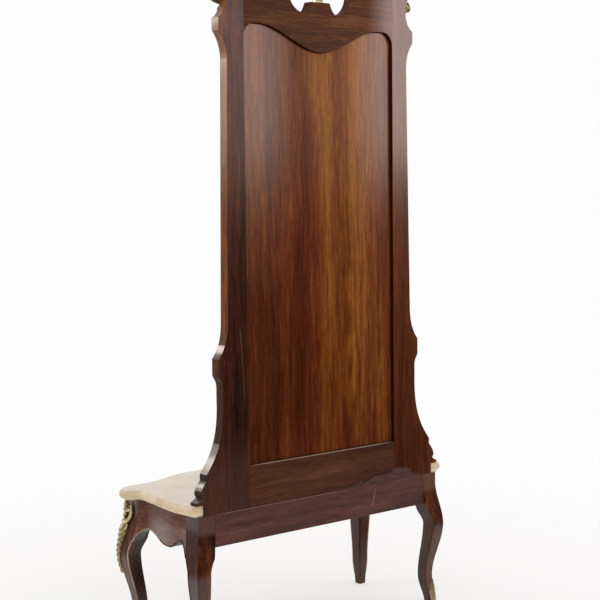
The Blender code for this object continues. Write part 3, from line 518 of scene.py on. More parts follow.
@dataclass(frozen=True)
class PolishedMahogany:
    """Mahogany, sawn through the heart, planed and French polished with shellac.

    The eye gets a deep red-brown ground with dark growth stripes, finer streaks and short open pores drawn
    out along the grain, under a clear gloss that has gone a little hazy with age.
    """

    name: str
    grain: Grain
    tones: tuple[str, str, str, str] = ("#1c0a05", "#3a1a0b", "#532811", "#6d3a1b")
    slot: Slot = Slot.MAHOGANY
    drift_mm: float = 260.0       # size of the bends in the grain
    drift: float = 0.030          # reach of those bends
    figure_mm: float = 95.0
    stripe_mm: float = 17.0
    streak_mm: float = 4.0        # real streaks are about 1.5 mm; drawn coarser so that they show
    pore_mm: float = 2.6          # real pores are about 0.3 mm; drawn coarser so that they show
    smear_mm: float = 75.0        # size of the hazy places in the polish
    stripe_share: float = 0.46
    streak_share: float = 0.34
    spread: float = 0.115         # half range of pattern values that the four tones cover
    roughness: float = 0.34
    specular: float = 0.25
    coat: float = 1.0
    coat_roughness: float = 0.10
    worn: tuple[WornGloss, ...] = ()
    film: Optional[Film] = None
    shift: Triple = (0.0, 0.0, 0.0)
    bands: tuple[Band, ...] = ()
    scratches_and_highlights: tuple[ScratchAndHighlightLine, ...] = ()
    flame: Optional[Flame] = None

    def material(self) -> bpy.types.Material:
        """The finished material."""
        made = Surface(self.name, {"Coat Weight": self.coat, "Coat Roughness": self.coat_roughness,
                                   "IOR": 1.5, "Specular IOR Level": self.specular})
        inputs = {"Vector": made.place, "Scale": per_metre(self.drift_mm), "Detail": 2.0}
        drift = add_node(made.tree, "TexNoise", inputs).outputs[1]
        bent = add_node(made.tree, "VectorMath", {0: drift, 1: (self.drift,) * 3, 2: made.place},
                        operation="MULTIPLY_ADD").outputs[0]
        fibres = made.drawn_out(self.grain.stretch(0.045), bent, self.shift)
        figure = made.noise(self.figure_mm, 2.0, place=fibres)
        stripe = made.noise(self.stripe_mm, 4.0, 0.62, fibres)
        streak = made.noise(self.streak_mm, 3.0, 0.70, fibres)
        tone = made.mix(self.streak_share, made.mix(self.stripe_share, figure, stripe), streak)
        for band in self.bands:
            tone = band.lift(made, tone)
        if self.flame:
            tone = self.flame.draw(made, tone)
        low = 0.5 - self.spread
        stops = [(low + 2.0 * self.spread * i / 3.0, colour) for i, colour in enumerate(self.tones)]
        short = made.drawn_out(self.grain.stretch(0.11), bent, self.shift)
        pores = made.fit(made.noise(self.pore_mm, 1.0, place=short), 0.60, 0.74, 0.0, 0.55)
        colour = made.blend(pores, made.ramp(tone, *stops), linear(self.tones[0]))
        if self.film:
            colour = self.film.cover(made, colour)
        for mark in self.scratches_and_highlights:
            colour = mark.draw(made, colour)
        smear = made.noise(self.smear_mm, 3.0)
        haze = made.fit(smear, 0.35, 0.68, self.roughness - 0.05, self.roughness + 0.10)
        sockets = {"Base Color": colour, "Roughness": haze, "Normal": made.bump(0.10, 0.0006, streak)}
        gloss: Any = self.coat
        for strip in self.worn:
            gloss = strip.rub(made, gloss)
            sockets["Coat Weight"] = gloss
        return made.link(sockets)


@dataclass(frozen=True)
class BrokenMahogany:
    """Mahogany where a splinter has come away: torn, dusty, never polished, so dull and greyish."""

    name: str = "broken_dusty_mahogany"
    tones: tuple[str, str] = ("#3c2018", "#4f2e24")
    splinter_mm: float = 5.0

    def material(self) -> bpy.types.Material:
        """The finished material."""
        made = Surface(self.name, {"Roughness": 0.85})
        torn = made.noise(self.splinter_mm, 4.0, place=made.drawn_out(Grain.ACROSS.stretch(0.15)))
        colour = made.ramp(torn, (0.36, self.tones[0]), (0.64, self.tones[1]))
        return made.link({"Base Color": colour, "Normal": made.bump(0.6, 0.001, torn)})


@dataclass(frozen=True)
class SawnPine:
    """Pine off the saw, for hidden blocks and bearers: yellow-brown with darker late wood, fuzzy, matt."""

    name: str
    grain: Grain
    slot: Slot = Slot.PINE
    tones: tuple[str, str, str] = ("#8a6236", "#b98d57", "#cfa973")
    ring_mm: float = 7.0
    saw_mm: float = 1.6

    def material(self) -> bpy.types.Material:
        """The finished material."""
        made = Surface(self.name, {"Roughness": 0.72})
        rings = made.noise(self.ring_mm, 4.0, place=made.drawn_out(self.grain.stretch(0.06)))
        colour = made.ramp(rings, *zip((0.34, 0.50, 0.66), self.tones))
        relief = made.bump(0.35, 0.0008, made.noise(self.saw_mm, 2.0))
        return made.link({"Base Color": colour, "Normal": relief})


@dataclass(frozen=True)
class HonedMarble:
    """Cream marble, sawn, moulded at the edge and polished on top.

    The polished top is pinkish cream with hardly any veins.  The moulded edge kept less polish: its upper
    roll has taken up wax and is yellower, the crease under it carries a pale painted highlight, and the
    cove below is pinkish.
    """

    name: str = "polished_cream_marble"
    slot: Slot = Slot.MARBLE
    face: tuple[str, str] = ("#d9c3aa", "#e5d1b9")
    cove: str = "#d6bca2"
    # Pale colour of the crease: a painted highlight line.
    crease: str = "#e6d8b6"
    roll: tuple[str, str] = ("#c2a782", "#dcc7a8")
    vein: str = "#c4a88c"
    cloud_mm: float = 90.0
    vein_mm: float = 150.0
    foot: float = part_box("marble_top")[0][2]
    thickness: float = 0.030

    def material(self) -> bpy.types.Material:
        """The finished material."""
        made = Surface(self.name, {"IOR": 1.5, "Subsurface Weight": 0.06, "Subsurface Scale": 0.004})
        cloud = made.noise(self.cloud_mm, 6.0, 0.62)
        face = made.ramp(cloud, (0.34, self.face[0]), (0.62, self.face[1]))
        roll = made.ramp(cloud, (0.36, self.roll[0]), (0.60, self.roll[1]))
        share = made.fit(made.axis(2), self.foot, self.foot + self.thickness)
        below = made.ramp(share, (0.14, self.cove), (0.20, self.crease))
        edge = made.blend(made.fit(share, 0.26, 0.38), below, roll)
        upward = made.fit(made.normal(2), 0.80, 0.99)
        vein = made.noise(self.vein_mm, 5.0, 0.55, distortion=0.8)
        thread = made.fit(made.away(vein, 0.5), 0.0, 0.022, 0.16, 0.0)
        colour = made.blend(thread, made.blend(upward, edge, face), linear(self.vein))
        return made.link({"Base Color": colour, "Roughness": made.fit(upward, 0.0, 1.0, 0.42, 0.22)})


@dataclass(frozen=True)
class GiltBronze:
    """Bronze, cast, chased and fire gilt, now worn.

    High places are still pale gold, hollows hold brown dirt, and the gloss is broken by fine chasing marks.
    """

    name: str = "worn_gilt_bronze"
    slot: Slot = Slot.BRONZE
    dirt: str = "#54472f"
    gilt: str = "#958560"
    bright: str = "#c0b38f"
    patch_mm: float = 14.0
    chasing_mm: float = 1.8
    metallic: float = 1.0

    def material(self) -> bpy.types.Material:
        """The finished material."""
        made = Surface(self.name, {"Metallic": self.metallic})
        raised = made.fit(add_node(made.tree, "NewGeometry").outputs["Pointiness"], 0.42, 0.58)
        wear = made.mix(0.40, raised, made.noise(self.patch_mm, 5.0))
        colour = made.ramp(wear, (0.24, self.dirt), (0.50, self.gilt), (0.78, self.bright))
        gloss = made.fit(wear, 0.25, 0.75, 0.60, 0.36)
        relief = made.bump(0.25, 0.0004, made.noise(self.chasing_mm, 2.0))
        return made.link({"Base Color": colour, "Roughness": gloss, "Normal": relief})


@dataclass(frozen=True)
class SilveredGlass:
    """Plate glass, silvered at the back long ago: a clear grey mirror with brown foxing in places."""

    name: str = "old_silvered_plate_glass"
    slot: Slot = Slot.GLASS
    silver: str = "#e2e5e2"
    foxing: str = "#6f665a"
    spot_mm: float = 22.0
    most: float = 0.55            # share of the silver that the foxing hides at most

    def material(self) -> bpy.types.Material:
        """The finished material."""
        made = Surface(self.name, {"Metallic": 1.0})
        foxed = made.fit(made.noise(self.spot_mm, 6.0, 0.7), 0.66, 0.78, 0.0, self.most)
        colour = made.blend(foxed, linear(self.silver), linear(self.foxing))
        return made.link({"Base Color": colour, "Roughness": made.fit(foxed, 0.0, self.most, 0.025, 0.30)})


@dataclass
class Form:
    """Points and faces of one piece while it is being shaped."""

    points: list[Vector] = field(default_factory=list)
    faces: list[tuple[int, ...]] = field(default_factory=list)
    beads: set[int] = field(default_factory=set)

    def is_bead(self, face: Face) -> bool:
        """Whether a face belongs to one of the beads."""
        return face.index in self.beads

    def loft(self, rings: Sequence[Sequence[Any]], caps: bool = True, round_trip: bool = False,
             banded: bool = False) -> None:
        """Skin closed rings with the same number of points.

        Args:
            rings: the rings, in order.
            caps: whether the first and the last ring are closed with a face.
            round_trip: whether the last ring is joined to the first.
            banded: whether a cap is a strip between the ring's first half and its second, run backwards.
        """
        start = len(self.points)
        count = len(rings[0])
        self.points += [Vector(point) for ring in rings for point in ring]
        levels = len(rings)
        for level in range(levels if round_trip else levels - 1):
            low = start + level * count
            high = start + (level + 1) % levels * count
            for i in range(count):
                after = (i + 1) % count
                self.faces.append((low + i, low + after, high + after, high + i))
        for first in (start, start + (levels - 1) * count) if caps else ():
            if banded:
                self.faces += [(first + i, first + i + 1, first + count - 2 - i, first + count - 1 - i)
                               for i in range(count // 2 - 1)]
            else:
                self.faces.append(tuple(range(first, first + count)))

    @classmethod
    def board(cls, outline: Sequence[Spot], front: float, back: float, arris: float,
              chip: Optional[tuple[Sequence[Spot], float]] = None) -> "Form":
        """A flat board between two planes of constant Y, with softened arrises.

        Args:
            outline: corners in X and Z.
            front: Y of the room side.
            back: Y of the back.
            arris: radius of the softened edges.
            chip: outline that is left at the back where a splinter is gone, and the splinter's depth.

        Returns:
            The board.
        """
        soft = [(arris * (1.0 - sin(a)), arris * (1.0 - cos(a))) for a in spaced(0.0, QUARTER, 3)]
        levels = [(front + deep, inset(outline, move)) for move, deep in soft]
        last = outline
        if chip:
            last, depth = chip
            levels += [(back - depth, list(outline)), (back - depth, list(last))]
        levels += [(back - deep, inset(last, move)) for move, deep in reversed(soft)]
        form = cls()
        form.loft([[(x, y, z) for x, z in corners] for y, corners in levels])
        return form

    def tube(self, path: Sequence[Vector], radii: Sequence[float], out: Vector, sides: int = 8) -> None:
        """A round bead along a path.

        Args:
            path: points of its middle line.
            radii: radius at each point.
            out: direction away from the face that carries it, which fixes the section's turn.
            sides: number of sides of the section.
        """
        turns = [ROUND * k / sides for k in range(sides)]
        rings = []
        for i, (point, radius) in enumerate(zip(path, radii)):
            tangent = (path[min(i + 1, len(path) - 1)] - path[max(i - 1, 0)]).normalized()
            across = tangent.cross(out).normalized()
            away = across.cross(tangent)
            rings.append([point + across * radius * cos(a) + away * radius * sin(a) for a in turns])
        first = len(self.faces)
        self.loft(rings)
        self.beads.update(range(first, len(self.faces)))


@dataclass
class Casting(Form):
    """A bronze in relief, shaped on a seat that turns a place and a height into a point."""

    seat: Seat = lambda u, v, lift: Vector((u, -lift, v))

    def blade(self, root: Spot, tip: Spot, width: float, height: float, bend: float = 0.0,
              hand: int = 1) -> None:
        """A leaf with a raised rib and rolled edges.

        Args:
            root: place where it springs.
            tip: place of its point.
            width: half its greatest width.
            height: height of its rib.
            bend: how far it bows to the left of its way.
            hand: -1 for its mirror image on the other side of the middle line.
        """
        (u, v), (tip_u, tip_v) = root, tip
        du, dv = hand * (tip_u - u), tip_v - v
        length = hypot(du, dv)
        across = (-dv / length, du / length)
        section = ((-1.0, 0.28), (-0.72, 0.78), (-0.30, 0.52), (0.0, 1.0), (0.30, 0.52), (0.72, 0.78),
                   (1.0, 0.28), (1.0, 0.0), (-1.0, 0.0))
        rings = []
        for t in spaced(0.0, 1.0, 9):
            half = width * max(0.06, (0.50 + 0.50 * smooth(min(1.0, 2.6 * t))) * (1.0 - t ** 2.6))
            lift = height * (0.62 + 0.38 * sin(pi * t)) * (1.0 - 0.45 * t)
            bow = hand * bend * sin(pi * t)
            rings.append([self.seat(hand * u + du * t + across[0] * (bow + half * s),
                                    v + dv * t + across[1] * (bow + half * s), lift * h)
                          for s, h in section])
        self.loft(rings)

    def scroll(self, path: Sequence[Spot], start: float, end: float, base: float = 0.0) -> None:
        """A rounded strap along a path.

        Args:
            path: places of its middle line.
            start: half its width at the first place.
            end: half its width at the last place.
            base: height of its underside above the seat.
        """
        rings = []
        for i, (u, v) in enumerate(path):
            before, after = path[max(i - 1, 0)], path[min(i + 1, len(path) - 1)]
            du, dv = after[0] - before[0], after[1] - before[1]
            length = max(hypot(du, dv), TINY)
            half = start + (end - start) * i / (len(path) - 1)
            rings.append([self.seat(u - dv / length * half * cos(a), v + du / length * half * cos(a),
                                    base + half * (1.0 + sin(a)) * 0.85)
                          for a in spaced(0.0, ROUND, 8)[:-1]])
        self.loft(rings)

    def boss(self, middle: Spot, radius: float, height: float) -> None:
        """A round drop of metal."""
        rings = []
        for a in spaced(0.0, QUARTER * 0.94, 4):
            reach = radius * cos(a)
            rings.append([self.seat(middle[0] + reach * cos(b), middle[1] + reach * sin(b), height * sin(a))
                          for b in spaced(0.0, ROUND, 12)[:-1]])
        self.loft(rings)

    def skin(self, spans: Sequence[Triple], lift: Callable[[float, float], float], steps: int = 16) -> None:
        """A thin cast sheet between two edges.

        Args:
            spans: rows as height, left edge and right edge.
            lift: thickness by the place across the row, from -1 to 1, and the row's height.
            steps: number of steps across.
        """
        shares = spaced(0.0, 1.0, steps)
        rings = []
        for v, left, right in spans:
            ring = [self.seat(left + (right - left) * s, v, lift(2.0 * s - 1.0, v)) for s in shares]
            ring += [self.seat(left + (right - left) * s, v, 0.0) for s in reversed(shares)]
            rings.append(ring)
        self.loft(rings, banded=True)

    def fan(self, hinge: Spot, size: Spot, ribs: int, height: float, upward: bool = True) -> None:
        """A ribbed shell that opens from its hinge.

        Args:
            hinge: place where the ribs meet.
            size: width and height of the shell.
            ribs: number of ribs.
            height: height of the ribs.
            upward: whether it opens upwards.
        """
        flip = 1.0 if upward else -1.0
        edge = []
        for share in spaced(0.0, 1.0, 8 * ribs):
            angle = pi * (1.24 * share - 0.12)
            rib = abs(sin(ribs * pi * share))
            scallop = 0.86 + 0.14 * sqrt(rib)
            edge.append((0.5 * size[0] * scallop * cos(angle),
                         flip * size[1] * scallop * (0.28 + 0.72 * sin(angle)), rib))
        levels = ((0.06, 0.0), (0.40, 0.0), (0.75, 0.0), (1.0, 0.0), (1.0, 0.22), (0.97, 0.42), (0.90, 0.62),
                  (0.78, 0.80), (0.62, 0.93), (0.44, 1.0), (0.27, 0.95), (0.13, 0.80), (0.05, 0.62))
        rings = []
        for share, rise in levels:
            depth = 0.52 * smooth(min(1.0, share / 0.35))
            rings.append([self.seat(hinge[0] + u * share, hinge[1] + v * share,
                                    height * rise * (1.0 - depth * (1.0 - rib)))
                          for u, v, rib in edge])
        self.loft(rings)


def c_scroll(middle: Spot, size: Spot, opening: float, curl: float = 200.0) -> list[Spot]:
    """Path of a C-scroll whose ends roll inwards.

    Args:
        middle: place of its middle.
        size: half its width and half its height.
        opening: direction of its back in degrees.
        curl: degrees that each end turns from the back.

    Returns:
        Places along the scroll.
    """
    turn = radians(opening)
    path = []
    for t in spaced(-1.0, 1.0, 44):
        radius = 1.0 - 0.62 * abs(t) ** 2.2
        a = radians(curl) * t
        u, v = size[0] * radius * cos(a), size[1] * radius * sin(a)
        path.append((middle[0] + u * cos(turn) - v * sin(turn), middle[1] + u * sin(turn) + v * cos(turn)))
    return path


def outwards(hand: int) -> float:
    """Direction in degrees away from the middle line, on one of its two sides."""
    return 0.0 if hand > 0 else 180.0


def material_of(finish: Any) -> bpy.types.Material:
    """The finish's material, made once."""
    return bpy.data.materials.get(finish.name) or finish.material()


def make_piece(name: str, form: Form, finish: Any, nodes: Sequence[str] = (), sharp: float = 38.0,
               patches: Sequence[tuple[Any, Callable[[Face], bool]]] = ()) -> bpy.types.Object:
    """Turn a form into a dressed piece on the CAD body.

    Args:
        name: the piece's name.
        form: its points and faces.
        finish: what it is made of.
        nodes: CAD nodes that it stands for.
        sharp: angle in degrees above which an edge stays crisp.
        patches: other finishes, each with a test of a face for where it shows.

    Returns:
        The new object.
    """
    mesh = bpy.data.meshes.new(name)
    mesh.from_pydata(form.points, [], form.faces)
    shape = bmesh.new()
    shape.from_mesh(mesh)
    bmesh.ops.recalc_face_normals(shape, faces=shape.faces)
    shape.to_mesh(mesh)
    shape.free()
    mesh.materials.append(material_of(finish))
    for number, (other, shows) in enumerate(patches, 1):
        mesh.materials.append(material_of(other))
        for polygon in mesh.polygons:
            if shows(polygon):
                polygon.material_index = number
    mesh.shade_smooth()
    mesh.set_sharp_from_angle(angle=radians(sharp))
    piece = bpy.data.objects.new(name, mesh)
    bpy.context.scene.collection.objects.link(piece)
    weighted = piece.modifiers.new("flat_faces_stay_flat", "WEIGHTED_NORMAL")
    weighted.keep_sharp = True
    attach(piece, "root")
    if nodes:
        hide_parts(*nodes)
    LOG.info("%s: %d faces, %s", name, len(mesh.polygons), finish.name)
    return piece


LEG_TONES = ("#1e0b05", "#38180a", "#4e250f", "#673618")
LEG_WOOD = PolishedMahogany(
    "french_polished_mahogany_legs", Grain.UPRIGHT, LEG_TONES,
    specular=0.12, coat=0.80, coat_roughness=0.09,
    worn=(WornGloss(2, 0.314, 0.078, 0.032, 0.05),), film=Film(0.354, -0.020, 0.62, "#654c40"))
# Darker copy of the leg wood with a thinner polish: painted shade on the legs' inner faces and the aprons'
# undersides.
INNER_LEG_PAINTED_SHADE_WOOD = PolishedMahogany(
    "thinly_polished_mahogany_inside_of_legs", Grain.UPRIGHT, ("#180904", "#2f1409", "#41200f", "#553019"),
    specular=0.15, coat=0.42, coat_roughness=0.20)
SIDE_WOOD = PolishedMahogany(
    "french_polished_mahogany_side_aprons", Grain.DEEP, ("#2c150b", "#4c2817", "#643a24", "#7e4f33"),
    specular=0.20, coat_roughness=0.30,
    worn=(WornGloss(2, 0.416, 0.060, 0.035, 0.10), WornGloss(1, -0.085, 0.075, 0.055, 0.05)))
FRONT_WOOD = PolishedMahogany(
    "french_polished_mahogany_front_apron", Grain.ACROSS, LEG_TONES, coat_roughness=0.09)
# Pale bead colour: partly rubbed wood, partly a painted highlight along the arris.
RUBBED_AND_HIGHLIGHT_BEAD_WOOD = PolishedMahogany(
    "rubbed_mahogany_beads", Grain.UPRIGHT, ("#7a5a45", "#93725a", "#ad8d73", "#c2a58c"),
    coat=0.4, coat_roughness=0.25)
RAIL_WOOD = PolishedMahogany(
    "dull_waxed_mahogany_back_rail", Grain.ACROSS, ("#3f1f14", "#532d20", "#60392b", "#6c4536"),
    coat=0.3, coat_roughness=0.42, roughness=0.50,
    scratches_and_highlights=(ScratchAndHighlightLine((-0.2015, 0.404), (-0.1865, 0.348), 0.0026, "#6e5348"),
               # Painted highlight: a pale line along the rail's top arris.
               ScratchAndHighlightLine((0.402, 0.4150), (-0.08, 0.4150), 0.0010)))
RIGHT_STILE_WOOD = PolishedMahogany(
    "french_polished_mahogany_right_stile", Grain.UPRIGHT, ("#1f0a03", "#321406", "#47200c", "#693716"),
    specular=0.10, coat=0.30, coat_roughness=0.20, shift=(3.1, 1.7, 0.4),
    bands=(Band(0.31, 1.0, 1.10, 3.0, 0.055),), film=Film(0.660, 0.170, 0.42, "#51392f"),
    scratches_and_highlights=(ScratchAndHighlightLine((0.3073, 0.923), (0.2985, 0.800), 0.0012, "#6d4430"),
               ScratchAndHighlightLine((0.2988, 0.806), (0.2931, 0.730), 0.0009, "#5c3826")))
LEFT_STILE_WOOD = PolishedMahogany(
    "french_polished_mahogany_left_stile", Grain.UPRIGHT, ("#3c1605", "#50230a", "#632f0f", "#77401a"),
    specular=0.10, coat_roughness=0.17, shift=(5.3, 0.9, 1.4),
    bands=(Band(-0.31, 1.0, 0.95, 1.55, 0.030), Band(-0.31, 1.0, 0.10, 0.80, -0.030)))
EDGE_TONES = ("#2a1206", "#472209", "#743d14", "#8a5022")
# Painted shade and sheen on the stiles' outer edges: darker below about 1 m, lighter above it.
EDGE_PAINTED_SHADE_AND_SHEEN = (Band(0.34, 4.0, -0.30, 1.00, -0.060), Band(0.34, 4.0, 0.75, 3.0, 0.030))
EDGE_WOOD = PolishedMahogany(
    "rubbed_mahogany_stile_edges", Grain.UPRIGHT, EDGE_TONES,
    specular=0.10, coat=0.70, coat_roughness=0.16, roughness=0.50,
    worn=(WornGloss(2, 0.70, 0.80, 0.35, 0.11),), bands=EDGE_PAINTED_SHADE_AND_SHEEN)
COVE_WOOD = PolishedMahogany(
    "polished_mahogany_stile_coves", Grain.UPRIGHT, EDGE_TONES,
    specular=0.10, coat_roughness=0.16, roughness=0.50, bands=EDGE_PAINTED_SHADE_AND_SHEEN)
CREST_WOOD = PolishedMahogany(
    "rubbed_mahogany_top_rail", Grain.ACROSS, ("#2a1106", "#3c1b0b", "#4d2711", "#65391b"),
    specular=0.05, coat_roughness=0.17, roughness=0.50, shift=(0.7, 2.3, 5.2),
    worn=(WornGloss(0, 0.30, 0.600, 0.130, 0.05),))
FOOT_WOOD = PolishedMahogany(
    "dull_polished_mahogany_bottom_rail", Grain.ACROSS, ("#2f1408", "#411d0d", "#4e2813", "#5f371f"),
    specular=0.12, coat=0.22, coat_roughness=0.30, roughness=0.48, shift=(2.7, 1.3, 3.2),
    # Painted highlight: a pale line along the bottom rail's top arris.
    scratches_and_highlights=(ScratchAndHighlightLine((0.279, 0.5343), (-0.279, 0.5343), 0.0010, "#a48c7c"),
               # Near-black lines along the splinter's upper edge: painted shadow in the crack.
               ScratchAndHighlightLine((-0.079, 0.4240), (-0.131, 0.4275), 0.0020, "#160904"),
               ScratchAndHighlightLine((-0.130, 0.4275), (-0.150, 0.4415), 0.0020, "#160904"),
               ScratchAndHighlightLine((-0.149, 0.4262), (-0.201, 0.4432), 0.0024, "#160904"),
               ScratchAndHighlightLine((-0.198, 0.4428), (-0.270, 0.4432), 0.0015, "#1f0d06")),
    bands=(Band(-0.22, 0.24, 0.10, 1.20, -0.050),))
BOARD_WOOD = PolishedMahogany(
    "french_polished_mahogany_back_board", Grain.UPRIGHT, ("#371302", "#522108", "#703a0e", "#905820"),
    slot=Slot.BOARD, figure_mm=70.0, stripe_mm=15.0, spread=0.160,
    specular=0.05, coat=0.80, coat_roughness=0.21, shift=(1.9, 0.3, 2.6),
    worn=(WornGloss(0, -0.010, 0.250, 0.175, 0.12),),
    bands=(Band(-0.120, 0.150, 0.50, 1.95, 0.069), Band(0.175, 0.170, 0.40, 2.00, -0.035),
           Band(0.030, 0.060, 0.95, 1.60, -0.055), Band(0.130, 0.240, 0.40, 1.25, -0.055),
           Band(-0.020, 0.220, 1.10, 1.85, 0.048), Band(-0.240, 0.090, 0.50, 1.60, 0.048)),
    flame=Flame(-0.110, 0.760, 0.090))
# Near-black wood on the inner edges round the opening: painted shade on the rebate's walls.
REVEAL_PAINTED_SHADE_WOOD = PolishedMahogany(
    "painted_shade_dark_mahogany_inner_edges", Grain.UPRIGHT, ("#1a0601", "#2c0c03", "#3c1505", "#4a1c08"),
    specular=0.04, coat=0.10, coat_roughness=0.30)
DOWEL_WOOD = PolishedMahogany(
    "turned_mahogany_dowels", Grain.UPRIGHT, slot=Slot.BOARD, coat=0.0, roughness=0.6)
BROKEN = BrokenMahogany()
MARBLE = HonedMarble()
BRONZE = GiltBronze()
RAW_BRONZE = GiltBronze(
    "raw_bronze_casting_back", dirt="#2c2818", gilt="#4f492c", bright="#6d6543", metallic=0.6)
CREST_BACK_BRONZE = GiltBronze(
    "rubbed_bronze_crest_back", dirt="#4a4538", gilt="#787162", bright="#989180", metallic=0.6)
GLASS = SilveredGlass()
HIDDEN_WOOD = {                   # by a word in the node's name
    "bearer": SawnPine("sawn_pine_bearers", Grain.DEEP),
    "glue_block": SawnPine("sawn_pine_glue_blocks", Grain.UPRIGHT),
    "dowel": DOWEL_WOOD,
}


@dataclass(frozen=True)
class CarcaseShape:
    """Sizes and curves of the console's carcase.

    The toe, the ankle and the knee each have a height, an outward shift and a side of the leg's section.
    """

    height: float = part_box("back_rail")[1][2]
    back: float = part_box("back_rail")[1][1]
    reach: float = 0.460
    depth: float = 0.350
    post: float = 0.058
    arris: float = 0.006
    toe_chamfer: float = 0.0048
    post_straight: float = 0.031
    bracket_drop: float = 0.112
    knee: Triple = (0.257, 0.0243, 0.048)
    ankle: Triple = (0.094, -0.0110, 0.0355)
    toe: Triple = (0.0, -0.002, 0.027)
    rail_height: float = 0.0915
    rail_thickness: float = 0.030
    apron_thickness: float = 0.026
    side_bow: float = 0.005
    side_hollow: float = 0.0125
    swell: float = 0.046
    swell_flat: float = 0.170
    swell_reach: float = 0.370
    crown: float = 0.004
    arch: float = 0.076
    rear_arch: float = 0.0775
    side_lobe: float = 0.0995
    front_lobe: float = 0.110
    front_side_lobe: float = 0.088
    apron_end: float = 0.120
    bead: float = 0.0021
    bead_sink: float = 0.0006     # how far a bead's middle lies in the wood
    bead_start: float = 0.030     # height where the legs' beads start

    def shift(self, z: float) -> float:
        """Outward shift of a leg's outer arris along the diagonal at height z."""
        turns = [(part[0], part[1]) for part in (self.toe, self.ankle, self.knee)]
        return wave([*turns, (self.height - self.post_straight, 0.0)], z)

    def side(self, z: float) -> float:
        """Side of a leg's square section at height z."""
        turns = [(part[0], part[2]) for part in (self.toe, self.ankle, self.knee)]
        return wave([*turns, (self.height - self.bracket_drop, self.post)], z)

    def bow(self, z: float) -> float:
        """How far a leg's outer face stands out from its post at height z."""
        return self.shift(z) / sqrt(2.0)

    def leg_point(self, side: Side, end: End, z: float, p: float, q: float) -> Vector:
        """Point of a leg's section, where p and q run outwards from the section's middle.

        Args:
            side: side of the leg.
            end: end of the carcase.
            z: height.
            p: distance outwards along X.
            q: distance outwards along Y.

        Returns:
            The world point.
        """
        half = self.side(z) / 2.0
        x = side.value * (self.reach + self.bow(z) - half + p)
        if end is End.REAR:
            return Vector((x, self.back + self.bow(z) - half + q, z))
        return Vector((x, self.back - self.depth - self.bow(z) + half - q, z))

    def leg_ring(self, side: Side, end: End, z: float, grow: float) -> list[Vector]:
        """Rounded square section of a leg, whose inner arrises turn crisp where the aprons meet it.

        Args:
            side: side of the leg.
            end: end of the carcase.
            z: height.
            grow: how far the section is grown.

        Returns:
            Points round the section.
        """
        half = self.side(z) / 2.0
        meet = self.height - self.apron_end
        crisp = wave(((meet - 0.012, self.arris), (meet + 0.002, 0.0006)), z)
        ring = []
        for turn, (sp, sq) in enumerate(((1, 1), (-1, 1), (-1, -1), (1, -1))):
            radius = self.arris if sp == sq else crisp
            for angle in spaced(0.0, QUARTER, 5):
                around = angle + turn * QUARTER
                p = sp * (half - radius) + (radius + grow) * cos(around)
                q = sq * (half - radius) + (radius + grow) * sin(around)
                ring.append(self.leg_point(side, end, z, p, q))
        return ring

    def leg_seat(self, side: Side, end: End, lifted: float = 0.0004) -> Seat:
        """Seat on a leg's two outer faces.

        Args:
            side: side of the leg.
            end: end of the carcase.
            lifted: height of the seat above the wood.

        Returns:
            A function of the way round from the outer arris, the height, and the height above the seat.
        """
        arc = self.arris * pi / 4.0

        def seat(u: float, v: float, lift: float) -> Vector:
            half = self.side(v) / 2.0
            raised = lift + lifted
            if abs(u) <= arc:
                angle = pi / 4.0 - u / self.arris
                p, q = (half - self.arris + (self.arris + raised) * f for f in (cos(angle), sin(angle)))
            else:
                p, q = half + raised, half - self.arris - (abs(u) - arc)
                if u < 0.0:
                    p, q = q, p
            return self.leg_point(side, end, v, p, q)
        return seat

    def front_depth(self, x: float) -> float:
        """Distance of the front apron's face from the back plane at a place along it."""
        turns = ((self.swell_flat, self.swell), (self.swell_reach, 0.0))
        bulge = self.crown * (1.0 - min(1.0, abs(x) / self.swell_flat) ** 2)
        return self.depth - GAP + wave(turns, abs(x)) + bulge


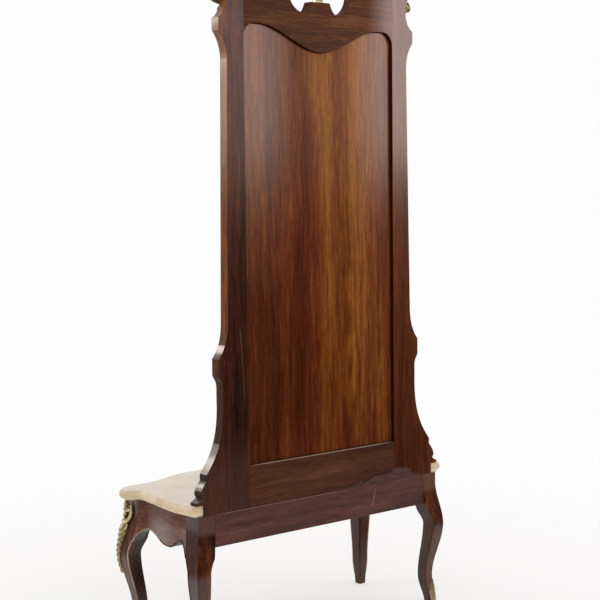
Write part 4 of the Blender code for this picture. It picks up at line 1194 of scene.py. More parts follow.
@dataclass
class Console:
    """The low table: cabriole legs, rails and aprons, marble slab and bronzes."""

    shape: CarcaseShape = field(default_factory=CarcaseShape)
    marble_thickness: float = 0.030
    marble_back: float = 0.006
    marble_turns: tuple[Spot, ...] = ((0.006, 0.4822), (0.082, 0.4853), (0.280, 0.4610), (0.324, 0.4920))
    marble_front: tuple[Spot, ...] = ((0.0, 0.428), (0.190, 0.426), (0.385, 0.3754), (0.432, 0.3765))
    notch_half: float = 0.4391
    notch_depth: float = 0.0323
    ring_step: float = 0.005
    shoe_foot: float = 0.012      # height where the shoe's leaves spring
    shoe_rim: float = 0.040
    shoe_top: float = 0.079
    knee_low: float = 0.196
    knee_waist: float = 0.338     # height of the lobed leaf's upper end
    knee_high: float = 0.408

    def build(self) -> None:
        """Make every piece of the console."""
        for end in End:
            for side in Side:
                self.make_leg(side, end)
                self.make_shoe(side, end)
        self.make_back_rail()
        for side in Side:
            self.make_side_apron(side)
            self.make_knee_bronze(side)
        self.make_front_apron()
        self.make_apron_shell()
        self.make_marble()
        self.dress_hidden_wood()

    def make_leg(self, side: Side, end: End) -> None:
        """A cabriole leg with a bead down the arris that carries on from each apron."""
        shape = self.shape
        stops = (shape.toe_chamfer, shape.ankle[0], shape.knee[0], shape.height - shape.bracket_drop,
                 shape.height - shape.post_straight, shape.height)
        heights = [stops[0]]
        for low, high in zip(stops, stops[1:]):
            heights += spaced(low, high, max(2, round((high - low) / self.ring_step)))[1:]
        levels = [(shape.toe_chamfer * (1.0 - sin(a)), -shape.toe_chamfer * (1.0 - cos(a)))
                  for a in spaced(QUARTER, 0.0, 4)[:-1]]
        levels += [(z, 0.0) for z in heights]
        form = Form()
        form.loft([shape.leg_ring(side, end, z, grow) for z, grow in levels])
        meet = shape.height - shape.apron_end
        heights = [z for z in heights if shape.bead_start < z < meet]
        for sp, sq in [(1.0, -1.0)] if end is End.REAR else [(1.0, -1.0), (-1.0, 1.0)]:
            path = []
            radii = []
            for z in [*heights, meet + shape.bead]:
                half = shape.side(z) / 2.0
                p, q = (half - shape.bead_sink if s > 0 else -half + 0.0024 for s in (sp, sq))
                path.append(shape.leg_point(side, end, z, p, q))
                radii.append(shape.bead * min(1.0, 0.25 + (z - shape.bead_start) / 0.060))
            form.tube(path, radii, Vector((side.value, 0.0, 0.0)) if sp > 0 else Vector((0.0, -1.0, 0.0)))
        towards = Vector((-side.value, -1.0 if end is End.REAR else 1.0, 0.0))

        # Inner faces take the darker wood as painted shade.
        def is_inner(face: Face) -> bool:
            return max(face.normal.x * towards.x, face.normal.y * towards.y) > 0.6

        word = f"{end.value}_{side.word}"
        # Front legs' beads take the pale colour with its painted highlight; rear legs' beads keep the leg
        # wood.
        bead_wood = RUBBED_AND_HIGHLIGHT_BEAD_WOOD if end is End.FRONT else LEG_WOOD
        make_piece(f"{word}_cabriole_leg", form, LEG_WOOD, [f"{word}_leg"],
                   patches=[(INNER_LEG_PAINTED_SHADE_WOOD, is_inner), (bead_wood, form.is_bead)])

    def make_shoe(self, side: Side, end: End) -> None:
        """A cast shoe on a foot's outer faces: a rolled rim, a scalloped top and leaves up the arris."""
        shape = self.shape
        casting = Casting(seat=shape.leg_seat(side, end))
        spans = []
        for v in spaced(0.003, self.shoe_top - 0.004, 20):
            widest = shape.side(v) - shape.arris - 0.0015
            reach = min(wave(((self.shoe_rim, widest), (self.shoe_top, 0.005)), v), widest)
            spans.append((v, -reach, reach))
        casting.skin(spans, lambda s, v: 0.0012 + 0.0011 * abs(cos(4.5 * pi * s)), 36)
        reach = spans[0][2] - 0.001
        for v, half in ((0.0055, 0.0016), (0.0115, 0.0010)):
            casting.scroll([(u, v) for u in spaced(-reach, reach, 24)], half, half)
        foot = self.shoe_foot
        casting.blade((0.0, foot), (0.0, self.shoe_top), 0.0060, 0.0048)
        for hand in BOTH:
            casting.blade((0.003, foot), (0.0085, 0.063), 0.0045, 0.0042, -0.0015, hand)
            casting.blade((0.007, foot), (0.0150, 0.050), 0.0042, 0.0040, -0.0012, hand)
            casting.blade((0.012, foot), (0.0185, 0.036), 0.0034, 0.0036, -0.0008, hand)
        word = f"{end.value}_{side.word}"
        make_piece(f"{word}_foot_bronze", casting, BRONZE, [f"{word}_shoe"])

    def make_knee_bronze(self, side: Side) -> None:
        """A pierced mount on a front knee: leaves and broad straps above, a lobed leaf below."""
        casting = Casting(seat=self.shape.leg_seat(side, End.FRONT))
        widths = ((self.knee_low, 0.0022), (0.212, 0.0038), (0.236, 0.0050), (0.258, 0.0064),
                  (0.274, 0.0092), (0.290, 0.0122), (0.305, 0.0158), (0.318, 0.0180), (0.330, 0.0165),
                  (self.knee_waist, 0.0120))
        spans = [(v, -straight(widths, v), straight(widths, v))
                 for v in spaced(self.knee_low, self.knee_waist, 66)]
        ridge = ((self.knee_low, 0.0055), (0.290, 0.0080), (0.328, 0.0120))

        def lift(s: float, v: float) -> float:
            lobes = 0.84 + 0.16 * cos(ROUND * (v / 0.0155 - 1.2 * abs(s)))
            rib = 1.0 + 0.16 * max(0.0, 1.0 - abs(s) / 0.16)
            return 0.0018 + wave(ridge, v) * (1.0 - s * s) * lobes * rib

        casting.skin(spans, lift, 20)
        for root, tip, width, height in (
                (0.390, self.knee_high + 0.004, 0.0085, 0.0110), (0.377, 0.3995, 0.0105, 0.0135),
                (0.361, 0.3815, 0.0095, 0.0135), (0.345, 0.3645, 0.0090, 0.0145)):
            casting.blade((0.0, root), (0.0, tip), width, height)
        strap = ((0.0315, 0.401), (0.0325, 0.392), (0.0320, 0.382), (0.0295, 0.371), (0.0250, 0.361),
                 (0.0185, 0.353), (0.0110, 0.348), (0.0030, 0.345))
        tie = ((0.002, 0.380), (0.010, 0.3815), (0.018, 0.3835), (0.027, 0.386))
        for hand in BOTH:
            casting.scroll([(hand * u, v) for u, v in strap], 0.0042, 0.0072)
            casting.blade((0.0320, 0.394), (0.0345, 0.411), 0.0050, 0.0060, 0.002, hand)
            casting.scroll([(hand * u, v) for u, v in tie], 0.0044, 0.0044)
            casting.blade((0.012, 0.381), (0.0185, 0.400), 0.0046, 0.0060, -0.002, hand)
            curl = c_scroll((hand * 0.0125, 0.3365), (0.0075, 0.0085), outwards(hand), 150.0)
            casting.scroll(curl, 0.0030, 0.0026, 0.001)
            for root, tip, width, height, bend in (
                    ((0.002, 0.318), (0.0300, 0.3335), 0.0062, 0.0080, -0.003),
                    ((0.002, 0.303), (0.0245, 0.3190), 0.0060, 0.0080, -0.003),
                    ((0.002, 0.287), (0.0190, 0.3040), 0.0055, 0.0080, -0.003),
                    ((0.001, 0.271), (0.0145, 0.2885), 0.0048, 0.0075, -0.002),
                    ((0.001, 0.256), (0.0105, 0.2730), 0.0040, 0.0070, -0.002)):
                casting.blade(root, tip, width, height, bend, hand)
        make_piece(f"front_{side.word}_knee_bronze", casting, BRONZE, [f"front_{side.word}_knee_mount"])

    def make_back_rail(self) -> None:
        """The plain rail between the rear legs, which carries the mirror."""
        shape = self.shape
        heights = spaced(shape.height - shape.rail_height, shape.height, 18)
        ends = [(shape.reach - shape.post + shape.bow(z) - GAP, z) for z in heights]
        form = Form.board(ends + mirrored(ends), shape.back - shape.rail_thickness, shape.back, 0.0012)
        make_piece("plain_back_rail", form, RAIL_WOOD, ["back_rail"])

    def make_bowed_board(self, name: str, node: str, ends: Callable[[float], Spot], drops: Turns,
                         face: Callable[[float, float], tuple[Vector, Vector]],
                         finish: PolishedMahogany) -> None:
        """An apron with a bowed face, a waved lower edge and a bead along that edge.

        Args:
            name: the piece's name.
            node: CAD node that it stands for.
            ends: start and end along the apron at a height.
            drops: turning points of the lower edge along the apron.
            face: outer and inner point at a place along the apron and a height.
            finish: the wood.
        """
        shape = self.shape
        first, last = ends(shape.height)
        layers = []
        edge = []
        for share in spaced(0.0, 1.0, 96):
            drop = arched(drops, first + (last - first) * share)
            pairs = []
            for z in spaced(shape.height, shape.height - drop, 16):
                start, end = ends(z)
                pairs.append(face(start + (end - start) * share, z))
            layers.append([pair[0] for pair in pairs] + [pair[1] for pair in reversed(pairs)])
            outer, inner = pairs[-1]
            sunk = (inner - outer).normalized() * shape.bead_sink
            edge.append(outer + sunk + Vector((0.0, 0.0, 0.7 * shape.bead)))
        form = Form()
        form.loft(layers, banded=True)
        form.tube(edge, [shape.bead] * len(edge), Vector((0.0, 0.0, -1.0)))

        # The underside takes the darker inner-leg wood as painted shade.
        def is_below(face: Face) -> bool:
            return face.normal.z < -0.3

        # Painted highlight on the beads' front half only; the rear beads, where shade falls, keep the darker
        # leg wood.
        def is_front_bead_with_painted_highlight(face: Face) -> bool:
            return form.is_bead(face) and face.center.y < shape.back - shape.depth / 2.0

        make_piece(name, form, finish, [node], patches=[
            (INNER_LEG_PAINTED_SHADE_WOOD, is_below), (LEG_WOOD, form.is_bead), (RUBBED_AND_HIGHLIGHT_BEAD_WOOD, is_front_bead_with_painted_highlight)])

    def make_side_apron(self, side: Side) -> None:
        """A side apron that swells near the back and hollows near the front leg."""
        shape = self.shape
        rear, front = shape.post, shape.depth - shape.post
        length = front - rear
        bows = ((rear, 0.0), (rear + 0.25 * length, shape.side_bow),
                (front - 0.16 * length, -shape.side_hollow), (front, 0.0))

        def ends(z: float) -> Spot:
            return rear - shape.bow(z) + GAP, front + shape.bow(z) - GAP

        def face(deep: float, z: float) -> tuple[Vector, Vector]:
            outer = shape.reach - GAP + wave(bows, deep) + shape.bow(z)
            inner = shape.reach - shape.apron_thickness
            outside, inside = (Vector((side.value * x, shape.back - deep, z)) for x in (outer, inner))
            return outside, inside

        drops = ((rear, shape.apron_end), (rear + 0.105 * length, shape.rear_arch),
                 (rear + 0.265 * length, shape.side_lobe), (rear + 0.325 * length, shape.side_lobe),
                 (rear + 0.79 * length, shape.arch), (front, shape.apron_end))
        self.make_bowed_board(f"{side.word}_shaped_apron", f"{side.word}_side_apron", ends, drops, face,
                              SIDE_WOOD)

    def make_front_apron(self) -> None:
        """The serpentine front apron with its middle lobe."""
        shape = self.shape
        inner = shape.reach - shape.post

        def ends(z: float) -> Spot:
            return -inner - shape.bow(z) + GAP, inner + shape.bow(z) - GAP

        def face(x: float, z: float) -> tuple[Vector, Vector]:
            y = shape.back - shape.front_depth(x)
            return Vector((x, y - shape.bow(z), z)), Vector((x, y + shape.apron_thickness, z))

        half = [(0.0, shape.front_lobe), (0.29 * inner, shape.rear_arch),
                (0.48 * inner, shape.front_side_lobe), (0.82 * inner, shape.arch),
                (inner, shape.apron_end)]
        drops = mirrored(half) + half[1:]
        self.make_bowed_board("serpentine_front_apron", "front_apron", ends, drops, face, FRONT_WOOD)

    def make_apron_shell(self) -> None:
        """A fan shell between two C-scrolls in the middle of the front apron."""
        shape = self.shape
        hinge = shape.height - 0.30 * shape.front_lobe

        def seat(u: float, v: float, lift: float) -> Vector:
            return Vector((u, shape.back - shape.front_depth(u) - shape.bow(v) - 0.0005 - lift, v))

        casting = Casting(seat=seat)
        casting.fan((0.0, hinge), (0.078, 0.060), 7, 0.0095, upward=False)
        casting.boss((0.0, hinge), 0.0085, 0.0100)
        for hand in BOTH:
            curl = c_scroll((hand * 0.0400, hinge - 0.006), (0.0110, 0.0190), outwards(hand))
            casting.scroll(curl, 0.0022, 0.0017)
            casting.blade((0.008, hinge + 0.004), (0.034, hinge + 0.017), 0.0055, 0.0050, 0.003, hand)
            casting.blade((0.004, hinge + 0.006), (0.016, hinge + 0.020), 0.0050, 0.0050, 0.002, hand)
        make_piece("apron_shell_bronze", casting, BRONZE, ["apron_mount"])

    def marble_line(self) -> list[Spot]:
        """Right half of the slab's widest outline, as distances from the middle and back planes."""
        depths = spaced(self.marble_back, self.marble_turns[-1][0], 44)
        line = [(wave(self.marble_turns, depth), depth) for depth in depths]
        corner = self.marble_front[-1]
        line += sweep(line[-1], corner, (-0.05, 0.50), (0.60, 1.0), 14)
        return line + [(x, wave(self.marble_front, x)) for x in spaced(corner[0], 0.0, 48)[1:]]

    def make_marble(self) -> None:
        """The slab, with a torus over a cove along the front and sides and a notch for the mirror."""
        line = self.marble_line()
        normals = [(1.0, 0.0)]
        for before, after in zip(line, line[2:]):
            length = hypot(after[0] - before[0], after[1] - before[1])
            normals.append(((after[1] - before[1]) / length, (before[0] - after[0]) / length))
        normals.append((0.0, 1.0))
        profile_mm = ((0.0, 14.0), (0.058, 13.8), (0.104, 13.0), (0.145, 11.5), (0.174, 9.5), (0.194, 6.8),
                      (0.20, 5.2), (0.26, 5.0), (0.275, 2.6), (0.315, 1.4), (0.39, 0.5), (0.50, 0.1),
                      (0.62, 0.0), (0.70, 0.2), (0.77, 0.8), (0.84, 1.9), (0.90, 3.7), (0.95, 5.9),
                      (0.985, 8.4), (1.0, 11.0))
        notch = [(-self.notch_half, self.marble_back), (-self.notch_half, self.notch_depth),
                 (self.notch_half, self.notch_depth), (self.notch_half, self.marble_back)]
        base = self.shape.height + GAP
        rings = []
        for share, move_mm in profile_mm:
            move = move_mm / 1000.0
            half = [(x - move * nx, depth - move * ny) for (x, depth), (nx, ny) in zip(line, normals)]
            z = base + share * self.marble_thickness
            plan = half + mirrored(half[:-1]) + notch
            rings.append([(x, self.shape.back - depth, z) for x, depth in plan])
        form = Form()
        form.loft(rings)
        make_piece("moulded_marble_slab", form, MARBLE, ["marble_top"], sharp=30.0)

    def dress_hidden_wood(self) -> None:
        """Give the CAD's bearers, glue blocks and dowels their wood."""
        for name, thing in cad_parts.items():
            for word, finish in HIDDEN_WOOD.items():
                if word in name:
                    for place in thing.material_slots:
                        place.material = material_of(finish)
                    LOG.info("%s: kept from the CAD, %s", name, finish.name)


@dataclass
class Mirror:
    """The tall frame on the console's back edge, with its plate, back board and bronzes.

    Heights are above the frame's foot, and widths from the middle plane.  The ears and the shoulder have a
    width, a height and a rise.  The scroll has its middle's width, its top and its radius.
    """

    base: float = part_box("back_rail")[1][2] + GAP
    back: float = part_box("back_rail")[1][1]
    thickness: float = 0.032
    half: float = 0.280
    bottom: float = 0.119
    corner: Triple = (0.036, 1.300, 0.040)
    dip: float = 0.070
    lip_thickness: float = 0.010
    glass_thickness: float = 0.004
    board_thickness: float = 0.0065
    plate_play: float = 0.0006    # room round the plate and the board in the rebate
    tongue: float = 0.4385
    foot: float = 0.463
    seat: float = 0.0303
    waist: Spot = (0.3688, 0.310)
    lower_ear: Triple = (0.382, 0.378, 0.047)
    lower_cove: float = 0.100
    shaft: Spot = (0.350, 0.339)
    upper_ear: Triple = (0.366, 1.315, 0.034)
    upper_cove: float = 0.077
    throat: Spot = (0.338, 1.400)
    shoulder: Triple = (0.360, 1.458, 0.012)
    scroll: Triple = (0.135, 1.612, 0.030)
    cut: tuple[float, float, float, float] = (0.1165, 1.430, 0.064, 1.3795)
    pedestal: Spot = (0.035, 1.4115)
    housing: float = 0.006        # how far the top rail runs into the stiles
    arris: float = 0.0015
    chip_depth: float = 0.0022
    chip: tuple[Spot, ...] = (
        (0.078, 0.0), (0.086, 0.0045), (0.105, 0.0070), (0.118, 0.0082), (0.130, 0.0096), (0.136, 0.0140),
        (0.142, 0.0165), (0.1475, 0.0230), (0.1505, 0.0085), (0.158, 0.0095), (0.174, 0.0142),
        (0.186, 0.0180), (0.199, 0.0243), (0.207, 0.0228), (0.220, 0.0246), (0.236, 0.0230),
        (0.252, 0.0252), (0.268, 0.0242), (0.272, 0.0330), (0.2785, 0.0367), (0.290, 0.0347),
        (0.304, 0.0345), (0.331, 0.0312), (0.338, 0.0292), (0.341, 0.0270), (0.3525, 0.0262),
        (0.355, 0.0120), (0.362, 0.0085), (0.378, 0.0060), (0.391, 0.0))

    @property
    def front(self) -> float:
        """Y of the frame's room side."""
        return self.back - self.thickness

    def build(self) -> None:
        """Make every piece of the mirror."""
        for side in Side:
            self.make_stile(side)
        self.make_rails()
        self.make_sight_moulding()
        self.make_plates()
        for side in Side:
            self.make_corner_bronze(side)
        self.make_crest_bronze()

    def opening(self, move: float) -> list[Spot]:
        """Outline of the opening in X and Z, moved in.

        Args:
            move: how far it is moved in.

        Returns:
            Corners from the lower right one over the top to the lower left one.
        """
        line = self.opening_line(move)
        half, foot = self.half - move, self.bottom + move
        outline = [(half, foot)] + line + mirrored(line[:-1]) + [(-half, foot)]
        return [(x, self.base + z) for x, z in outline]

    def opening_line(self, move: float) -> list[Spot]:
        """Right half of the opening's waved top, from its side to the middle, moved in."""
        width, foot, rise = self.corner
        crest = foot + rise
        ease = ((0.0, crest - self.dip), (self.half * 0.80, crest))
        scale = (self.half - move) / self.half
        line = [((self.half - width + width * cos(a)) * scale, foot + rise * sin(a) - move)
                for a in spaced(0.0, QUARTER, 12)]
        return line + [(x * scale, wave(ease, x) - move) for x in spaced(self.half - width, 0.0, 40)[1:]]

    def crest_height(self, x: float) -> float:
        """Height of the crest's sweeping upper edge above the mirror's foot."""
        width, height, rise = self.shoulder
        return wave(((self.scroll[0], self.scroll[1]), (width, height + rise)), x)

    def stile_outline(self) -> list[Spot]:
        """Outline of the right stile above the mirror's foot, from its inner bottom corner and round."""
        fillet = self.seat + 0.008
        groove = fillet + 0.016
        torus = (self.foot - 0.0140, groove + 0.0015)
        neck = (self.foot - 0.0325, groove + 0.040)
        collar = (neck[0], neck[1] + 0.017)
        ear_x, ear_z, ear_rise = self.lower_ear
        ear_foot = (self.waist[0], (ear_z + self.waist[1]) / 2.0)
        ear_top = (ear_x, ear_z + ear_rise)
        shaft_low = (self.shaft[0], ear_top[1] + self.lower_cove)
        up_x, up_z, up_rise = self.upper_ear
        shaft_high = (self.shaft[1], up_z - self.upper_cove)
        up_top = (up_x, up_z + up_rise)
        outline = [(x, 0.0) for x in self.foot_line(self.half, self.tongue)]
        outline += [(self.tongue, self.seat), (self.foot, self.seat), (self.foot, fillet)]
        outline += [(self.foot - 0.0085, fillet + 0.004), (self.foot - 0.0170, fillet + 0.009),
                    (self.foot - 0.0170, fillet + 0.013), torus]
        outline += sweep(torus, neck, (-0.26, 0.24), (0.52, 0.78), 14)
        outline.append(collar)
        outline += sweep(collar, self.waist, (0.52, 0.20), (1.06, 0.44), 26)
        outline.append(ear_foot)
        outline += sweep(ear_foot, (ear_x, ear_z), (0.0, 0.50), (0.55, 0.65), 10)
        outline.append(ear_top)
        outline += sweep(ear_top, shaft_low, (0.50, 0.19), (1.0, 0.45))
        outline.append(shaft_high)
        outline += sweep(shaft_high, (up_x, up_z), (0.0, 0.48), (0.48, 0.78))
        outline.append(up_top)
        outline += sweep(up_top, self.throat, (0.50, 0.14), (1.0, 0.53), 14)
        outline += sweep(self.throat, self.shoulder[:2], (0.0, 0.43), (0.36, 0.79), 14)
        return outline + [(x, self.crest_height(x)) for x in spaced(self.shoulder[0], self.half, 14)]

    def chipped(self, outline: Sequence[Spot]) -> tuple[list[Spot], float]:
        """The outline that is left at the back, where the foot's splinter is gone, and the depth of that."""
        left = [(x, z + straight(self.chip, -x)) if z < self.base + 0.001 and x < 0.0 else (x, z)
                for x, z in outline]
        return left, self.chip_depth

    def foot_line(self, start: float, end: float) -> list[float]:
        """Places along the foot between two distances from the middle, with the splinter's corners."""
        corners = [x for x, _ in self.chip if start + 0.001 < x < end - 0.001]
        return [start, *corners, end]

    def is_broken(self, face: Face) -> bool:
        """Whether a face lies in the splinter's bed."""
        middle = face.center
        bed = abs(middle.y - (self.back - self.chip_depth)) < 0.0004
        return bed and middle.z < self.base + 0.04 and -0.40 < middle.x < -0.07

    def is_edge(self, face: Face) -> bool:
        """Whether a face lies on a stile's shaped outer edge."""
        return abs(face.normal.y) < 0.8 and abs(face.center.x) > self.half + 0.004

    def is_cove(self, face: Face) -> bool:
        """Whether a face lies where an outer edge sweeps out and looks upwards."""
        return self.is_edge(face) and face.normal.z > 0.34 and face.center.z < self.base + 0.9

    def is_reveal(self, face: Face) -> bool:
        """Whether a face lies on the frame's inner edge, round the opening."""
        below = face.center.z < self.base + self.corner[1] + self.corner[2] + 0.001
        return below and abs(face.normal.y) < 0.6 and abs(face.center.x) < self.half + 0.0004

    def make_stile(self, side: Side) -> None:
        """A full-height stile with ears, coves and a moulded spreading foot."""
        outline = [(side.value * x, self.base + z) for x, z in self.stile_outline()]
        chip, wood = None, RIGHT_STILE_WOOD
        if side is Side.LEFT:
            chip, wood = self.chipped(outline), LEFT_STILE_WOOD
        form = Form.board(outline, self.front, self.back, self.arris, chip)
        make_piece(f"{side.word}_eared_stile", form, wood, [f"{side.word}_stile"], patches=[
            (EDGE_WOOD, self.is_edge), (COVE_WOOD, self.is_cove), (REVEAL_PAINTED_SHADE_WOOD, self.is_reveal),
            (BROKEN, self.is_broken)])

    def make_rails(self) -> None:
        """The bottom rail, and the top rail with its waved edge, broken crest and pedestal."""
        end = self.half - GAP
        low, high = self.base, self.base + self.bottom
        outline = [(end, low), *((-x, low) for x in self.foot_line(0.0, end)), (-end, high), (end, high)]
        form = Form.board(outline, self.front, self.back, self.arris, self.chipped(outline))
        make_piece("mirror_bottom_rail", form, FOOT_WOOD, ["bottom_rail"],
                   patches=[(BROKEN, self.is_broken)])
        half = self.opening_line(0.0)[::-1]
        housed = self.half + self.housing
        half.append((housed, half[-1][1]))
        centre_x, top, radius = self.scroll
        half += [(x, self.crest_height(x)) for x in spaced(housed, centre_x, 30)]
        half += [(centre_x + radius * cos(a), top - radius + radius * sin(a))
                 for a in spaced(QUARTER, 5.0 * pi / 4.0, 22)[1:]]
        notch, valley = self.cut[:2], self.cut[2:]
        half.append(notch)
        half += sweep(notch, valley, (0.04, 0.52), (0.50, 0.98), 16)
        half += sweep(valley, self.pedestal, (0.48, -0.03), (0.79, 0.45), 12)
        outline = [(x, self.base + z) for x, z in half + mirrored(half[1:])]
        form = Form.board(outline, self.front + 0.0002, self.back - 0.0002, self.arris)
        make_piece("mirror_crest_rail", form, CREST_WOOD, ["top_rail"],
                   patches=[(REVEAL_PAINTED_SHADE_WOOD, self.is_reveal)])

    def make_sight_moulding(self) -> None:
        """The lip round the plate on the room side: a cove that ends in a small bead at the sight edge."""
        profile_mm = ((0.0, 10.0), (12.0, 10.0), (12.0, 7.5), (11.2, 6.1), (9.8, 5.6), (8.6, 6.3),
                      (8.2, 7.2), (6.5, 6.4), (4.5, 4.2), (2.4, 1.7), (0.9, 0.4), (0.0, 0.2))
        form = Form()
        form.loft([[(x, self.front + deep / 1000.0, z) for x, z in self.opening(move / 1000.0)]
                   for move, deep in profile_mm], caps=False, round_trip=True)
        make_piece("sight_moulding", form, RIGHT_STILE_WOOD)

    def make_plates(self) -> None:
        """The silvered plate, and the polished board behind it."""
        outline = self.opening(self.plate_play)
        glass = self.front + self.lip_thickness + GAP
        form = Form.board(outline, glass, glass + self.glass_thickness, 0.0006)
        make_piece("silvered_plate", form, GLASS, ["mirror_glass"])
        board = glass + self.glass_thickness + GAP
        form = Form.board(outline, board, board + self.board_thickness, 0.0010)
        make_piece("polished_back_board", form, BOARD_WOOD, ["back_panel"])

    def make_corner_bronze(self, side: Side) -> None:
        """A leaf spray on the room side above the upper ear, with an arm that curls past the shoulder."""
        x, z = 0.318, 1.392

        def seat(u: float, v: float, lift: float) -> Vector:
            return Vector((side.value * (x + u), self.front - 0.0005 - lift, self.base + z + v))

        casting = Casting(seat=seat)
        casting.scroll(c_scroll((-0.003, 0.0), (0.0125, 0.0290), 180.0, 165.0), 0.0044, 0.0036)
        for s in BOTH:
            casting.blade((0.0, s * 0.010), (-s * 0.003, s * 0.059), 0.0120, 0.0100, 0.005)
            casting.blade((-0.004, s * 0.008), (-0.026, s * 0.042), 0.0100, 0.0085, s * 0.006)
            casting.blade((0.004, s * 0.008), (0.023, s * 0.040), 0.0100, 0.0085, -s * 0.006)
        casting.fan((0.0, -0.010), (0.034, 0.030), 5, 0.0135)
        arm = sweep((0.006, 0.002), (0.060, 0.031), (0.45, -0.05), (0.95, 0.40), 14)
        casting.scroll(arm, 0.0064, 0.0046, 0.001)
        casting.blade((0.010, 0.004), (0.057, 0.029), 0.0080, 0.0125, -0.006)
        casting.blade((0.030, 0.010), (0.050, 0.050), 0.0070, 0.0100, -0.005)
        casting.scroll(c_scroll((0.061, 0.034), (0.0090, 0.0135), 20.0), 0.0046, 0.0036, 0.001)
        casting.boss((0.062, 0.034), 0.0055, 0.0085)
        make_piece(f"{side.word}_corner_bronze", casting, BRONZE, [f"{side.word}_corner_mount"],
                   patches=[(RAW_BRONZE, lambda face: face.normal.y > -0.15)])

    def make_crest_bronze(self) -> None:
        """A fan shell over a leafed stem on the pedestal of the crest."""
        foot = self.base + self.pedestal[1] + GAP
        middle = (self.front + self.back) / 2.0
        height = 0.185
        hinge = foot + 0.30 * height

        def seat(u: float, v: float, lift: float) -> Vector:
            return Vector((u, middle + 0.010 - lift, v))

        casting = Casting(seat=seat)
        casting.fan((0.0, hinge), (0.150, 0.70 * height), 9, 0.020)
        stem = ((foot, 0.0150), (foot + 0.006, 0.0150), (foot + 0.010, 0.0118), (foot + 0.030, 0.0105),
                (hinge, 0.0165), (hinge + 0.012, 0.0200))
        casting.skin([(v, -half, half) for v, half in stem],
                     lambda s, v: 0.010 + 0.009 * sqrt(max(0.0, 1.0 - s * s)))
        casting.boss((0.0, hinge + 0.002), 0.0130, 0.0215)
        for hand in BOTH:
            curl = c_scroll((hand * 0.040, hinge + 0.012), (0.016, 0.026), outwards(hand))
            casting.scroll(curl, 0.0036, 0.0028, 0.006)
            casting.blade((0.006, hinge - 0.002), (0.030, hinge - 0.032), 0.0085, 0.0170, 0.004, hand)
            casting.blade((0.003, hinge - 0.004), (0.011, hinge - 0.044), 0.0065, 0.0185, 0.002, hand)
        make_piece("crest_shell_bronze", casting, BRONZE, ["crest_ornament"],
                   patches=[(CREST_BACK_BRONZE, lambda face: face.normal.y > 0.3)])


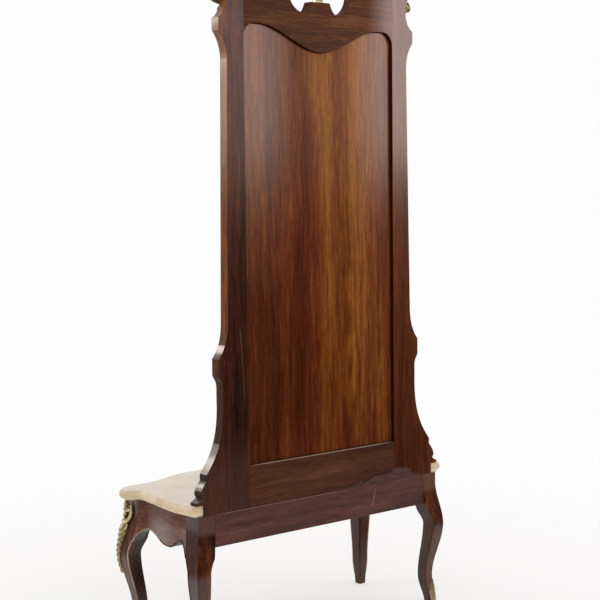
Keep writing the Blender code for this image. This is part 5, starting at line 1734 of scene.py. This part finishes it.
@dataclass
class Studio:
    """Pale floor, white surround, soft light and the photograph's camera."""

    back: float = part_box("back_rail")[1][1]
    table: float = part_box("back_rail")[1][2]
    turn: float = 40.5
    distance: float = 4.2865
    offset: float = 0.01581
    eye: float = 0.9131
    pitch: float = 4.6281
    roll: float = 0.6194
    focal_px: float = 1492.51
    picture_px: int = 600
    ambient: float = 0.86
    floor_half: float = 30.0
    floor_fill: float = 0.55
    floor_colour: str = "#f8f7f6"
    surround: str = "#fdfdfd"

    def build(self) -> None:
        """Set up the camera, the world, the floor, the cards and the lamps."""
        self.make_camera()
        self.make_world()
        self.make_floor()
        self.make_dark_cards()
        self.make_lamps()
        bpy.context.scene.view_settings.view_transform = "Standard"

    def make_camera(self) -> None:
        """The camera, behind the console on its right."""
        turn, pitch, roll = radians(self.turn), radians(self.pitch), radians(self.roll)
        right = Vector((-cos(turn), sin(turn), 0.0))
        level = Vector((-sin(turn), -cos(turn), 0.0))
        ahead = level * cos(pitch) - Vector((0.0, 0.0, sin(pitch)))
        above = level * sin(pitch) + Vector((0.0, 0.0, cos(pitch)))
        tilted_right = right * cos(roll) - above * sin(roll)
        tilted_up = right * sin(roll) + above * cos(roll)
        place = Vector((self.distance * (sin(turn) + self.offset * cos(turn)),
                        self.back + self.distance * (cos(turn) - self.offset * sin(turn)),
                        self.table + self.eye))
        data = bpy.data.cameras.new("photo_camera")
        data.sensor_width = 36.0
        data.lens = self.focal_px * data.sensor_width / self.picture_px
        camera = bpy.data.objects.new("photo_camera", data)
        axes = Matrix((tilted_right, tilted_up, -ahead)).transposed()
        camera.matrix_world = Matrix.Translation(place) @ axes.to_4x4()
        bpy.context.scene.collection.objects.link(camera)
        bpy.context.scene.camera = camera

    def make_world(self) -> None:
        """White where it is seen, directly, reflected or through glass, a little less as light."""
        world = bpy.data.worlds.new("white_studio")
        world.use_nodes = True
        tree = world.node_tree
        tree.nodes.clear()
        light = add_node(tree, "Background", {"Color": linear("#fdfeff"), "Strength": self.ambient})
        seen = add_node(tree, "Background", {"Color": linear(self.surround), "Strength": 1.0})
        shaders = {0: self.seen_rays(tree), 1: light.outputs[0], 2: seen.outputs[0]}
        add_node(tree, "OutputWorld", {0: add_node(tree, "MixShader", shaders).outputs[0]})
        bpy.context.scene.world = world

    def seen_rays(self, tree: bpy.types.NodeTree) -> Socket:
        """One for camera, glossy and transmission rays, and nought for the rest."""
        path = add_node(tree, "LightPath").outputs
        seen = path["Is Camera Ray"]
        for other in ("Is Glossy Ray", "Is Transmission Ray"):
            seen = add_node(tree, "Math", {0: seen, 1: path[other]}, operation="MAXIMUM").outputs[0]
        return seen

    def make_sheet(self, name: str, corners: Sequence[Triple],
                   material: bpy.types.Material) -> bpy.types.Object:
        """A flat sheet of the studio, which isn't part of the object.

        Args:
            name: its name.
            corners: its corners, in order.
            material: its material.

        Returns:
            The new object.
        """
        mesh = bpy.data.meshes.new(name)
        mesh.from_pydata(corners, [], [tuple(range(len(corners)))])
        mesh.materials.append(material)
        sheet = bpy.data.objects.new(name, mesh)
        bpy.context.scene.collection.objects.link(sheet)
        sheet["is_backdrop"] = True
        return sheet

    def make_floor(self) -> None:
        """Matt pale paper that fades into the white surround, so that only a faint shadow shows."""
        paper = Surface("matt_white_studio_paper", {"Base Color": linear(self.floor_colour),
                                                    "Roughness": 0.9, "Specular IOR Level": 0.1})
        tree = paper.tree
        reach = add_node(tree, "VectorMath", {0: paper.place}, operation="LENGTH").outputs["Value"]
        far = paper.fit(reach, 0.7, 2.4, self.floor_fill, 1.0, eased=True)
        fade = paper.math("MULTIPLY", far, self.seen_rays(tree))
        white = add_node(tree, "Emission", {"Color": linear(self.surround), "Strength": 1.0})
        mixed = add_node(tree, "MixShader", {0: fade, 1: paper.shader.outputs[0], 2: white.outputs[0]})
        tree.links.new(mixed.outputs[0], tree.nodes["Material Output"].inputs[0])
        half = self.floor_half
        corners = [(-half, -half, 0.0), (half, -half, 0.0), (half, half, 0.0), (-half, half, 0.0)]
        self.make_sheet("studio_floor", corners, paper.material)

    def make_dark_cards(self) -> None:
        """Dark cards that show only in the polish: one on the floor behind, one upright at its end."""
        card = Surface("black_studio_card", {"Base Color": linear("#0d0b0a"), "Roughness": 1.0,
                                             "Specular IOR Level": 0.0})
        half, near, far = 6.0, self.back + 0.78, self.back + 2.3
        edges = {"flat_card": ((near, 0.004), (far, 0.004)), "upright_card": ((far, 0.0), (far, 1.235))}
        for name, ((y0, z0), (y1, z1)) in edges.items():
            corners = [(-half, y0, z0), (half, y0, z0), (half, y1, z1), (-half, y1, z1)]
            sheet = self.make_sheet(name, corners, card.material)
            sheet.visible_camera = False
            sheet.visible_diffuse = False
            sheet.visible_transmission = False
            sheet.visible_shadow = False

    def make_lamps(self) -> None:
        """A warm soft box behind the object, a wider one before it, and one that only gleams."""
        lamps = (("warm_soft_box", (-2.35, self.back + 2.15, 1.97), (1.9, 1.1), 25.0, "#ffe7e0"),
                 ("wide_soft_box", (2.60, -2.70, 2.18), (2.4, 1.5), 25.0, "#fff0e0"),
                 ("gleam_box", (2.05, -2.30, 2.32), (1.0, 0.75), 19.0, "#fff4e6"))
        target = Vector((0.0, self.back, 1.35))
        for name, place, size, watts, colour in lamps:
            data = bpy.data.lights.new(name, "AREA")
            data.shape = "RECTANGLE"
            data.size, data.size_y = size
            data.energy = watts
            data.color = linear(colour)[:3]
            lamp = bpy.data.objects.new(name, data)
            facing = (target - Vector(place)).to_track_quat("-Z", "Y").to_matrix()
            lamp.matrix_world = Matrix.Translation(place) @ facing.to_4x4()
            lamp.visible_diffuse = name != "gleam_box"
            bpy.context.scene.collection.objects.link(lamp)


def write_sizes() -> None:
    """Work out the CAD's box and the dressed object's box."""
    boxes = {name: [[float(v) for v in corner] for corner in box]
             for name, box in (("cad", CAD_BOX), ("visual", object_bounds()))}


def main() -> None:
    """Build the console, the mirror and the studio, and work out the sizes."""
    logging.basicConfig(level=logging.INFO, format="%(name)s: %(message)s")
    for part in (Console(), Mirror(), Studio()):
        LOG.info("building %s", type(part).__name__)
        part.build()
    write_sizes()


if __name__ == "__main__":
    main()
